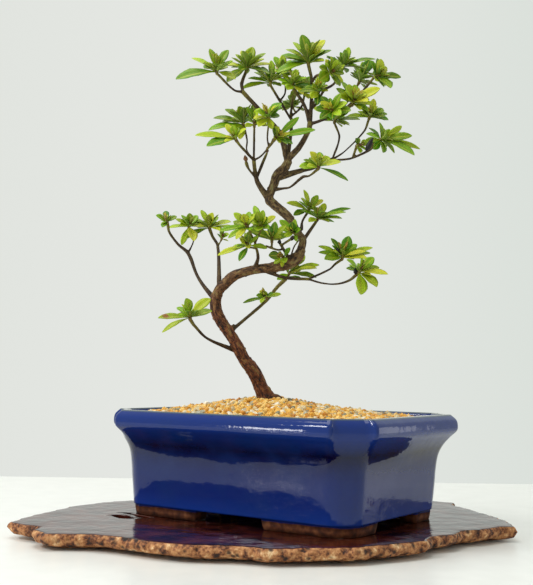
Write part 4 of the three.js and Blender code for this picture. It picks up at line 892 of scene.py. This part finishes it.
# For each shoot: where its bud stands, how many leaves to add at its back, and how far its leaves' tips
# reach from there, with a leaf's width where it isn't the smallest leaf's.
shoots = {
    "low_left": ([-62, -21, 131], 2, [[-20, -4, -3, 5.2], [-18, 5, -12], [-2, -6, 10, 6.3],
        [13, 8, 11, 6.9], [15, -3, 2, 5.8], [-6, -9, -2], [-9, 9, 5]]),
    "low_right": ([7, 9, 167], 1, [[7, -1, 7], [17, 2, 1], [15, -5, -2], [15, -1, -8, 5.2], [4, -8, -4],
        [-12, -3, -10]]),
    "low_right_side": ([-13, 7, 146], 0, [[-6, -1, 0, 3.4], [0, -4, 3, 3.2], [11, -2, 1, 3.4],
        [-15, 3, -5, 2.8]]),
    "left": ([-82, 14, 198], 1, [[-7, -2, 3], [-1, 4, 7], [-2, -6, -6], [7, 2, 3]]),
    "left_inner": ([-67, 28, 197], 2, [[0, -2, 8, 5.2], [-10, 0, 4], [-7, -4, -1], [-16, 4, -2], [5, 8, 8],
        [4, -11, -13, 6.9], [-5, -4, -15]]),
    "left_back": ([-54, 39, 198], 2, [[-16, -9, -11, 6.3], [-12, -3, 0], [-14, 4, 6], [-6, 3, 12],
        [3, -4, 9, 6.3], [6, 8, 8], [16, -2, 3, 6.3], [11, -8, -5, 4.6], [22, 4, -1]]),
    "left_back_spur": ([-44, 31, 189], 0, [[5, -2, 2], [-1, -3, 6]]),
    "front_left": ([-26, -31, 189], 0, [[-8, -2, 7, 4.8], [-2, -5, 6, 5.2], [2, 4, 9], [-8, 4, 1],
        [-17, -2, -5], [-11, -6, -10], [-6, -9, -11]]),
    "front_up": ([-17, -27, 190], 2, [[-6, -6, 5, 5.8], [5, -3, 4, 5.8], [-2, -6, 7, 5.2], [2, -1, 9],
        [-4, 6, 13], [10, 4, 6], [-2, -9, -6, 5.8], [6, -7, -4, 4.6]]),
    "front_spur": ([-25, -26, 177], 0, [[-5, -4, 3, 5.2], [1, -2, 6, 4.6], [-5, -6, -12], [-19, -2, -8],
        [13, 5, -2]]),
    "elbow_up": ([-9, -17, 182], 0, [[2, -2, 11, 4.6], [-3, -5, 8, 4.6], [9, 3, 9], [6, -7, 0, 4.6],
        [-15, -2, 5, 8.4], [-6, 6, 6]]),
    "trunk_high": ([5, -7, 188], 0, [[-9, 1, 8, 4.6], [-1, -5, 6, 4.6], [5, -6, 1], [-14, -3, -6, 4.6]]),
    "trunk_low": ([-2, -12, 171], 0, [[-9, -3, 0, 5.8], [2, -5, -5]]),
    "right_low": ([23, 15, 202], 0, [[19, -3, 3, 4.4], [23, 5, 7], [16, -7, -2, 4.6], [7, -10, -5, 4.6],
        [-7, -9, -5, 4.6], [5, 3, 10, 4.6], [-4, 4, 9]]),
    "right_back": ([17, 21, 209], 0, [[-16, -2, 3, 6.9], [-4, 0, 13], [-6, -6, 6, 4.6], [6, -1, 9, 4.6],
        [10, 6, 7], [-11, -4, -6, 5.2]]),
    "sweep_up": ([40, 12, 176], 2, [[-8, 2, 11], [-17, -1, 5], [-17, -6, 0], [-13, -9, -5, 6.9],
        [4, -3, 12, 6.9], [10, 2, 7, 5.2], [21, 3, 5], [15, -7, 1], [16, -9, -4, 5.8], [20, 9, 2]]),
    "sweep_down": ([49, -20, 162], 2, [[0, -6, -17, 8.4], [10, -8, -12, 8.4], [18, -2, -3, 5.3],
        [13, 4, 2], [9, 0, 8, 5.8], [0, -6, 7, 4.4], [-9, 2, 1]]),
    "left_high_low": ([-35, -16, 250], 1, [[-26, -2, 0, 5.3], [-18, -6, -8, 7.5], [-6, 2, 9, 4.4],
        [-1, -4, 7, 4.4], [3, -1, 6], [-9, 4, -2]]),
    "left_high_back": ([-31, 17, 270], 2, [[-23, -5, -9, 6.9], [-20, 0, 1, 5.8], [-12, 2, 8, 5.3],
        [-2, -3, 9, 5.3], [4, 2, 10, 4.6], [-1, -5, -15, 5.3], [-6, -9, -10, 5.1]]),
    "left_high_mid": ([-22, -2, 265], 0, [[-5, -2, 8, 5.3], [-1, 3, 12, 4.6], [3, -7, 6, 5.3],
        [9, 2, -3, 5.8], [-6, -5, -6, 4.6]]),
    "left_high_right": ([-7, -12, 251], 1, [[15, 0, 14], [26, -2, 5, 4.8], [6, -4, -4], [2, -9, -6]]),
    "left_high_front": ([-13, -18, 264], 1, [[9, -2, 8, 6.9], [-8, -4, 2, 6.4], [-6, -6, -9, 5.8],
        [3, -4, -10], [8, 0, 0, 5.1]]),
    "right_thin": ([21, -26, 230], 1, [[-13, -1, -2, 6.4], [-6, -2, 8, 5.8], [14, -4, 1, 5.3],
        [7, 4, 6, 5.8], [19, -2, -11], [1, 8, 10, 4.6], [-6, 7, 6, 4.6]]),
    "right_long_back": ([36, 32, 276], 2, [[9, -2, 5, 5.3], [17, -2, -1, 5.3], [6, -6, -6, 4.6],
        [-5, 4, 6, 4.6], [-9, 6, 0, 4.6], [4, 6, 11]]),
    "top_right_out_mid": ([30, -13, 270], 1, [[-8, -1, 5], [-11, -2, 0, 4.8], [-7, -5, -7], [-1, 2, 7],
        [2, -4, 6, 5.3], [8, -1, 5, 4.6]]),
    "right_long_up": ([59, 19, 275], 2, [[-10, -9, 6, 8.4], [6, -6, -3, 4.6], [12, -1, 1], [3, 3, 13],
        [10, 7, 7], [-16, 3, 0]]),
    "right_long_end": ([64, -16, 250], 1, [[19, -2, 2, 5.3], [13, 4, 10], [25, 2, -6], [20, -6, -12, 7.8],
        [-11, 2, 4], [-9, 6, 9], [-13, -4, -3], [-1, -8, -11, 5.8], [-7, -4, -8, 4.6], [0, -2, 7],
        [5, 2, 7]]),
    "right_long_spur": ([49, -11, 247], 1, [[5, -1, 2], [0, -2, -6], [-3, -2, 4]]),
    "top_left_far": ([-48, -11, 298], 2, [[-27, -3, -9, 8.4], [-17, 1, 7], [-5, 2, 14], [-1, -4, 9, 4.6],
        [8, -2, 12, 5.5], [13, -5, -9, 6.4], [-9, -7, 1]]),
    "top_left_up": ([-28, 6, 305], 1, [[4, -2, 13, 6.4], [-1, -6, 9, 5.3], [-8, 2, 9], [-4, 6, 13],
        [13, 2, 10], [12, -4, 4], [17, 4, 3], [16, -6, -7, 5.8], [-19, -2, 0, 5.8], [-13, -9, -14, 6.9],
        [-4, -12, -7, 6.9]]),
    "top_mid_left": ([-11, 12, 298], 2, [[-21, -2, -8, 5.3], [-16, -1, 0], [-12, 4, 6], [0, 2, 14],
        [-7, -5, 7, 5.8], [7, -4, -6, 4.6]]),
    "top_mid_up": ([-3, 22, 306], 2, [[-6, 2, 12, 4.6], [0, -3, 12, 4.6], [6, 3, 10, 4.6], [-9, 5, 3, 4.6],
        [9, 3, 0, 5.1]]),
    "top_right_left": ([4, 1, 293], 1, [[12, -3, -5, 5.8], [-4, -8, -8, 5.8], [9, -6, 1], [2, -3, 8, 4.6],
        [-8, -4, -3, 4.6], [7, -7, -11]]),
    "top_mid_back": ([13, 32, 297], 2, [[-7, -2, 4, 4.6], [6, 4, 5, 4.6], [3, -4, -8, 4.6],
        [-3, -2, 8, 4.6], [4, 2, 10, 4.6]]),
    "top_mid_low": ([4, 31, 286], 2, [[-7, -2, 0, 5.3], [5, -3, -1, 5.3], [-1, 2, 7, 4.6],
        [-5, 4, -4, 4.6]]),
    "apex": ([14, 7, 311], 2, [[-4, -1, 17, 7.1], [12, -2, 13, 7.1], [4, 5, 14, 4.6], [-10, 6, 14],
        [-15, 4, 8, 4.4], [-18, -4, 1, 5.5], [-21, -7, -12, 6.9], [9, -6, 4, 5.8], [11, -9, -4, 5.8],
        [17, 7, 9]]),
    "apex_right": ([30, -11, 297], 1, [[-9, -6, -8, 7.6], [3, -6, -11, 5.8], [-9, -3, 2, 5.3],
        [-4, 2, 9, 5.3], [3, -4, 7, 4.6], [8, -1, -2, 4.6]]),
    "top_right_up": ([40, 20, 312], 2, [[1, -2, 10], [4, 2, 13], [-2, 1, 9], [23, 3, 5], [-12, 3, 6, 5.3],
        [-9, -5, -1, 4.6], [9, -6, -3, 5.8], [-5, -8, -9, 4.6], [14, -13, -7]]),
    "top_right_out": ([45, -12, 277], 0, [[-5, -1, 10, 7.1], [-12, 3, 9, 5.3], [-12, -5, 2, 5.3],
        [8, -8, -3, 8.4], [17, -2, 8, 6], [13, 4, -1], [-8, 7, 15]]),
    "top_right_back": ([52, 15, 301], 2, [[6, 1, 13, 6], [1, -1, 11], [9, 3, 13], [5, -7, -5, 4.4],
        [-7, 4, 5], [-4, 8, 11, 4.6]]),
    "top_right_far": ([62, -1, 298], 2, [[2, -1, 11, 6], [6, -2, 5], [16, 1, -1, 4.8], [8, -7, -11, 8.4],
        [-2, 6, 11]]),
    "top_right_spur": ([21, -8, 285], 1, [[-5, -4, -7, 5.5], [-4, -1, 3, 5.3], [4, -3, 1, 4.6],
        [-1, -5, -12]]),
}
SMALL_LEAF = 4.2
GAP = 0.3
STEM_NECK = 0.7
LEAF_ARCH = 0.12
LEAF_ROOT = 0.4
LEAF_LIGHT = np.array([0.3, -1.1, 0.2])
SCORCHED = np.array([-77.0, -24.0, 129.0])
# Leaves of shoots that end below SHADED_UNDER take tones lowered by SHADED_TONE: painted shade.
SHADED_UNDER, SHADED_TONE = 140.0, 0.72

# A shoot's growth, in the crown's full light and below it: how much its leaves widen, their mean reach at
# full vigour, the least and the most vigour, and how many small leaves it has beyond half its long ones.
CROWN_FROM = 260.0
IN_CROWN = (1.2, 13, 1.0, 1.25, 8)
BELOW_CROWN = (1.1, 15, 0.5, 1.1, 4)

# A leaf's outline from root to tip, and its section: places across, their lift, and its thickness there.
leaf_stations = np.array([0.0, 0.07, 0.18, 0.32, 0.46, 0.6, 0.74, 0.87, 0.96, 1.0])
leaf_outline = np.array([0.14, 0.16, 0.34, 0.66, 0.9, 1.0, 0.92, 0.64, 0.32, 0.06])
blade_across = np.array([-1, -0.55, 0, 0.55, 1, 0.5, 0, -0.5])
blade_lift = np.array([0.26, 0.06, -0.1, 0.06, 0.26, 0.0, -0.2, 0.0])
blade_thick = np.array([0, 0.1, 0.06, 0.1, 0, -0.16, -0.3, -0.16])


def leaf_material(name, steps, vein, roughness):
    """A leaf's skin: its shade goes by the leaf's own tone, and its hue by a sine of that, so that each leaf
    is greener or yellower than the next. The midrib and the side veins off it are paler."""
    material, nodes = new_material(name, steps[len(steps) // 2][1])
    blade = add(nodes, "UVMap", uv_map="blade")
    parts = add(nodes, "SeparateXYZ", {"Vector": blade})
    place = add(nodes, "TexCoord").outputs["Object"]
    mottle = add(nodes, "TexNoise", {"Vector": place, "Scale": 260.0, "Detail": 3.0})
    tone = add(nodes, "Attribute", attribute_name="tone").outputs["Fac"]
    mixed = add(nodes, "Mix", {0: 0.22, 2: tone, 3: mottle})
    shade = add(nodes, "ValToRGB", {"Fac": mixed}, steps)
    swing = add(nodes, "Math", {0: tone, 1: 97.0}, operation="MULTIPLY")
    own = add(nodes, "Math", {0: swing}, operation="SINE")
    hue = add(nodes, "MapRange", {"Value": own, "From Min": -1.0, "To Min": 0.49, "To Max": 0.54})
    colour = add(nodes, "HueSaturation", {"Hue": hue, "Value": 1.2, "Color": shade})
    off_rib = add(nodes, "Math", {0: parts.outputs["Y"], 1: 0.5}, operation="SUBTRACT")
    distance = add(nodes, "Math", {0: off_rib}, operation="ABSOLUTE")
    rib = add(nodes, "MapRange", {
        "Value": distance, "From Min": 0.02, "From Max": 0.09, "To Min": 0.75, "To Max": 0.0,
    })
    slant = add(nodes, "Math", {0: distance, 1: -0.55, 2: parts.outputs["X"]}, operation="MULTIPLY_ADD")
    beat = add(nodes, "Math", {0: slant, 1: 46.0}, operation="MULTIPLY")
    wave = add(nodes, "Math", {0: beat}, operation="SINE")
    side_veins = add(nodes, "MapRange", {"Value": wave, "From Min": 0.7, "From Max": 1.0, "To Max": 0.16})
    veins = add(nodes, "Math", {0: rib, 1: side_veins}, operation="MAXIMUM")
    veined = add(nodes, "Mix", {0: veins, 6: colour, 7: from_hex(vein)}, data_type="RGBA")
    scorch = add(nodes, "Attribute", attribute_name="scorch").outputs["Fac"]
    edge = add(nodes, "Math", {0: scorch, 1: mottle}, operation="MULTIPLY")
    burnt = add(nodes, "MapRange", {"Value": edge, "From Min": 0.3, "From Max": 0.42})
    colour = add(nodes, "Mix", {0: burnt, 6: veined, 7: from_hex("#8a5a1e")}, data_type="RGBA")
    sunk = add(nodes, "Math", {0: 1.0, 1: veins}, operation="SUBTRACT")
    relief = add(nodes, "Bump", {"Height": sunk, "Strength": 0.25, "Distance": 0.0003})
    shader = add(nodes, "BsdfPrincipled", {
        "Base Color": colour, "Roughness": roughness, "IOR": 1.4, "Normal": relief,
        "Subsurface Weight": 0.15, "Subsurface Scale": 0.001, "Subsurface Radius": (0.6, 1.0, 0.1),
    })
    add(nodes, "OutputMaterial", {"Surface": shader})
    return material


leaf_face = leaf_material("azalea_leaf_upper_face", [
    (0.05, "#243a02"), (0.26, "#5a7a03"), (0.5, "#90a40b"), (0.72, "#b6ba28"), (0.86, "#a98a36"),
    (1.0, "#8e642c"),
], "#b4b83c", 0.42)
leaf_back = leaf_material("azalea_leaf_lower_face", [
    (0.1, "#4e6012"), (0.4, "#697a1d"), (0.7, "#828e30"), (0.9, "#999d48"),
], "#a9ac5c", 0.6)

# A young stem, grown this year: still green under its first thin brown bark.
young_stem = mottled_material("azalea_stem_young", "#7d7a3a", 350.0, 3.0, [
    (0.35, "#4c3412"), (0.5, "#6e5a22"), (0.68, "#858030"),
], {"Roughness": 0.6, "IOR": 1.45})


def blades(root, tip, width, up, random, thickness=1.0):
    """Leaf rings for many leaves at once. Each follows a quadratic curve from root to tip that arches up,
    and its section is a shallow valley, thickest at the midrib and thin at the edges."""
    along = unit(tip - root)
    length = np.linalg.norm(tip - root, axis=1)
    side = np.cross(along, up)
    crown = (root + tip) / 2 + up * (LEAF_ARCH * length)[:, None]
    s = leaf_stations[None, :, None]
    middle = (1 - s) ** 2 * root[:, None] + 2 * s * (1 - s) * crown[:, None] + s ** 2 * tip[:, None]
    slope = unit(2 * (1 - s) * (crown - root)[:, None] + 2 * s * (tip - crown)[:, None])
    rise = unit(up[:, None] - slope * (slope * up[:, None]).sum(-1, keepdims=True))
    half = width[:, None, None] / 2 * leaf_outline[None, :, None]
    ripple = 0.05 * np.sin(s * 17 + random.uniform(0, 6, (len(root), 1, 1)))
    lift = half * (blade_lift + ripple * np.abs(blade_across))
    lift = lift + blade_thick * thickness * (0.5 + 0.5 * leaf_outline[None, :, None])
    return (middle[:, :, None] + side[:, None, None] * (half * blade_across)[..., None]
            + rise[:, :, None] * lift[..., None])


def blade_faces(count):
    """Faces and slot numbers for leaves of ten rings of eight points, with both ends closed by one face."""
    rows, columns = len(leaf_stations), len(blade_across)
    quads = grid_faces(rows, columns)
    under = (np.arange(len(quads)) % columns >= 4).astype(int)
    start = (np.arange(count) * rows * columns)[:, None, None]
    ends = np.stack([np.arange(columns)[::-1], (rows - 1) * columns + np.arange(columns)])
    faces = [(quads[None] + start).reshape(-1, 4), (ends[None] + start).reshape(-1, columns)]
    return faces, [np.tile(under, count), np.ones(2 * count, int)]


for number, (name, (head, back, tips)) in enumerate(shoots.items()):
    random = np.random.default_rng(100 + number)
    before, end = limbs[name][-2:, :3]
    out = unit(end - before)
    head = np.array(head, float)
    neck = end + out * (GAP + STEM_NECK)
    stem_radius = limbs[name][-1, 3] * 0.9
    turn = np.pi / 2 + (np.arange(back) - (back - 1) / 2) * np.radians(80)
    added = np.column_stack([10 * np.cos(turn), 10 * np.sin(turn), np.full(back, 4.0), np.full(back, 5.3)])
    rows = np.concatenate([np.array([[*tip, SMALL_LEAF][:4] for tip in tips], float), added])
    widen, full_reach, least, most, extra = IN_CROWN if end[2] > CROWN_FROM else BELOW_CROWN
    steps, width = rows[:, :3], widen * rows[:, 3]
    axis = unit(head - neck)
    rise = unit(steps) @ axis
    outward = unit(steps - np.outer(steps @ axis, axis))
    root = neck + np.outer(0.3 + 0.65 * np.maximum(0, rise), head - neck) + outward * LEAF_ROOT
    tip = head + steps
    along = unit(tip - root)
    up = axis + LEAF_LIGHT
    up = up - along * (along * up).sum(1, keepdims=True)
    leaves = blades(root, tip, width, unit(up), random)

    # Smaller leaves fill the whorl, in two storeys: spreading ones, and folded young ones round the bud.
    across = unit(np.cross(axis, [0.3, 1, 0.2]))
    square = np.cross(axis, across)
    storeys = []
    vigour = np.clip(np.linalg.norm(steps, axis=1).mean() / full_reach, least, most)
    for count, low, high, steep, reach, breadth in [
        (len(tips) // 2 + extra, 0.1, 0.7, (0.8, 1.5), (7.5, 13.5), (0.4, 0.52)),
        (random.integers(6, 10), 0.9, 1.1, (0.1, 0.65), (5.0, 9.5), (0.24, 0.34)),
    ]:
        spin = np.arange(count) * 2.4 + random.uniform(0, 6)
        fan = np.cos(spin)[:, None] * across + np.sin(spin)[:, None] * square
        small_root = neck + (head - neck) * random.uniform(low, high, (count, 1)) + fan * 0.4
        lean = random.uniform(*steep, (count, 1))
        length = vigour * random.uniform(*reach, count)
        small_tip = small_root + (axis * np.cos(lean) + fan * np.sin(lean)) * length[:, None]
        small_along = unit(small_tip - small_root)
        small_up = axis + 0.6 * LEAF_LIGHT - 0.4 * fan
        small_up = unit(small_up - small_along * (small_along * small_up).sum(1, keepdims=True))
        breadths = length * random.uniform(*breadth, count)
        storeys.append(blades(small_root, small_tip, breadths, small_up, random, 0.6))

    all_blades = np.concatenate([leaves, *storeys])
    blade_points = all_blades.reshape(-1, 3)
    leaf_faces, leaf_slots = blade_faces(len(all_blades))
    stem_foot, stem_top = end + out * GAP, head + axis * 0.8
    stem_line = [[*stem_foot, stem_radius], [*neck, stem_radius], [*head, 1.15], [*stem_top, 0.6]]
    bud_line = [[*(head + axis * z), r] for z, r in [(0.3, 0.7), (1.1, 1.25), (2.3, 1.0), (3.6, 0.2)]]
    stem, bud = (shell(bar(np.array(line), 3, 10)) for line in (stem_line, bud_line))
    points, faces = joined([(blade_points, leaf_faces), stem, bud])
    slots = leaf_slots + [
        np.full(len(block), slot) for slot, (_, blocks) in [(2, stem), (3, bud)] for block in blocks
    ]
    shoot = make_piece("shoot_" + name, turned(points) + [0, 0, SLAB_TOP], faces,
                       [leaf_face, leaf_back, young_stem, bud_scale], slots)
    rest = len(points) - len(blade_points)
    leaf_tone = np.r_[
        random.uniform(0.08, 0.78, len(leaves)), random.uniform(0.12, 0.8, len(storeys[0])),
        random.uniform(0.6, 1.25, len(storeys[1])),
    ] * (SHADED_TONE if end[2] < SHADED_UNDER else 1)
    leaf_tone = np.repeat(leaf_tone, leaf_stations.size * blade_across.size)
    hold(shoot, "tone", np.r_[leaf_tone, np.full(rest, random.uniform(0.2, 0.9))])
    hold(shoot, "scorch", np.clip(1.2 - np.linalg.norm(points - SCORCHED, axis=1) / 5, 0, 1))
    u, v = np.meshgrid(leaf_stations, blade_across / 2 + 0.5, indexing="ij")
    blade_uv = np.column_stack([u.ravel(), v.ravel()])
    uv = np.concatenate([np.tile(blade_uv, (len(all_blades), 1)), np.zeros((rest, 2))])
    corners = np.empty(len(shoot.data.loops), np.int32)
    shoot.data.loops.foreach_get("vertex_index", corners)
    blade_map = shoot.data.uv_layers.new(name="blade")
    blade_map.data.foreach_set("uv", uv[corners].ravel().astype(np.float32))
    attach(shoot, "root")
    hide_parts("leaves_" + name)

# The setting: a table top that ends some way behind the slab, in a pale room with a window at each side. Its
# places are measured from under the eye, ahead along the view and aside. None of it is part of the object.

# Lacquer, sprayed white in a faint orange peel, with a sheen that blurs what it mirrors.
table_white = mottled_material("table_lacquered_white", "#f3f4ef", 60.0, 2.0, [
    (0.3, "#eff0eb"), (0.7, "#f4f5f0"),
], {"Roughness": 0.3, "IOR": 1.45})
EYE = np.array([369.0, -550.0, SLAB_TOP + 94.0])
TABLE_FRONT, TABLE_BACK, TABLE_HALF, TABLE_UNDER = -900, 966, 1600, 0.4
WALL_AWAY, WALL_HALF, WALL_DOWN, WALL_UP = 4000, 3500, 1200, 4000
ahead = np.array([-0.572, 0.820, 0.0])
aside = np.array([0.820, 0.572, 0.0])
floor_eye = EYE * [1, 1, 0]
table_corners = np.array([
    floor_eye + ahead * depth + aside * side * TABLE_HALF - [0, 0, TABLE_UNDER]
    for depth, side in [(TABLE_FRONT, -1), (TABLE_FRONT, 1), (TABLE_BACK, 1), (TABLE_BACK, -1)]
])
table = make_piece("table_top", table_corners, [np.array([[0, 1, 2, 3]])], [table_white], smooth=False)

# Matt paint, lit evenly by the room: a flat pale ground that fades a little to each side.
wall_paint, nodes = new_material("wall_painted_pale", "#e4e7e1")
place = add(nodes, "TexCoord").outputs["Object"]
along_wall = add(nodes, "VectorMath", {0: place, 1: tuple(aside)}, operation="DOT_PRODUCT")
fade = add(nodes, "MapRange", {"Value": along_wall, "From Min": -1.2, "From Max": 1.2})
paint = add(nodes, "ValToRGB", {"Fac": fade}, [(0.0, "#e1e4df"), (0.5, "#e6e8e4"), (1.0, "#dae0da")])
glow = add(nodes, "Emission", {"Color": paint})
add(nodes, "OutputMaterial", {"Surface": glow})
wall_foot = np.array([floor_eye + ahead * WALL_AWAY + aside * b for b in (-WALL_HALF, WALL_HALF)])
wall_corners = np.concatenate([wall_foot - [0, 0, WALL_DOWN], wall_foot[::-1] + [0, 0, WALL_UP]])
wall = make_piece("back_wall", wall_corners, [np.array([[0, 1, 2, 3]])], [wall_paint], smooth=False)

room = bpy.data.worlds.new("pale_room")
room.use_nodes = True
background = room.node_tree.nodes["Background"]
background.inputs["Color"].default_value = from_hex("#e4e7e1")
background.inputs["Strength"].default_value = 0.78
bpy.context.scene.world = room
bpy.context.scene.view_settings.view_transform = "Standard"


def lamp(name, place, target, size, power):
    """A soft square lamp of a size in millimetres, at a place in millimetres, that faces a target."""
    light = bpy.data.lights.new(name, "AREA")
    light.shape, light.size, light.energy = "SQUARE", size / 1000, power
    held = bpy.data.objects.new(name, light)
    held.location = Vector(place) / 1000
    held.rotation_mode = "QUATERNION"
    held.rotation_quaternion = (Vector(target) - Vector(place)).to_track_quat("-Z", "Y")
    bpy.context.scene.collection.objects.link(held)


lamp("window_left", (-500, -1000, 900), (0, 0, 120), 350, 8)
lamp("gap_in_blind", (-610, -1025, 110), (0, 0, 60), 110, 0.7)
lamp("window_right", (690, 770, 150), (100, -50, 70), 380, 0.6)
lamp("ceiling", (-150, -150, 1300), (0, 0, 100), 800, 6)

# The camera stands a little above the pot's rim, 660 mm off, and looks slightly up, as the photograph does.
pitch, roll = np.radians(4.63), np.radians(0.85)
forward = Vector(ahead * np.cos(pitch) + np.array([0, 0, np.sin(pitch)])).normalized()
level_right = forward.cross(Vector((0, 0, 1))).normalized()
level_up = level_right.cross(forward)
right = level_right * np.cos(roll) + level_up * np.sin(roll)
camera_up = right.cross(forward)
camera = bpy.data.objects.new("camera", bpy.data.cameras.new("camera"))
camera.data.lens, camera.data.sensor_width = 60.73, 36.0
camera.data.clip_start, camera.data.clip_end = 0.01, 20.0
turn = Matrix((right, camera_up, -forward)).transposed().to_4x4()
camera.matrix_world = Matrix.Translation(Vector(EYE / 1000)) @ turn
bpy.context.scene.collection.objects.link(camera)
bpy.context.scene.camera = camera

bpy.context.view_layer.update()
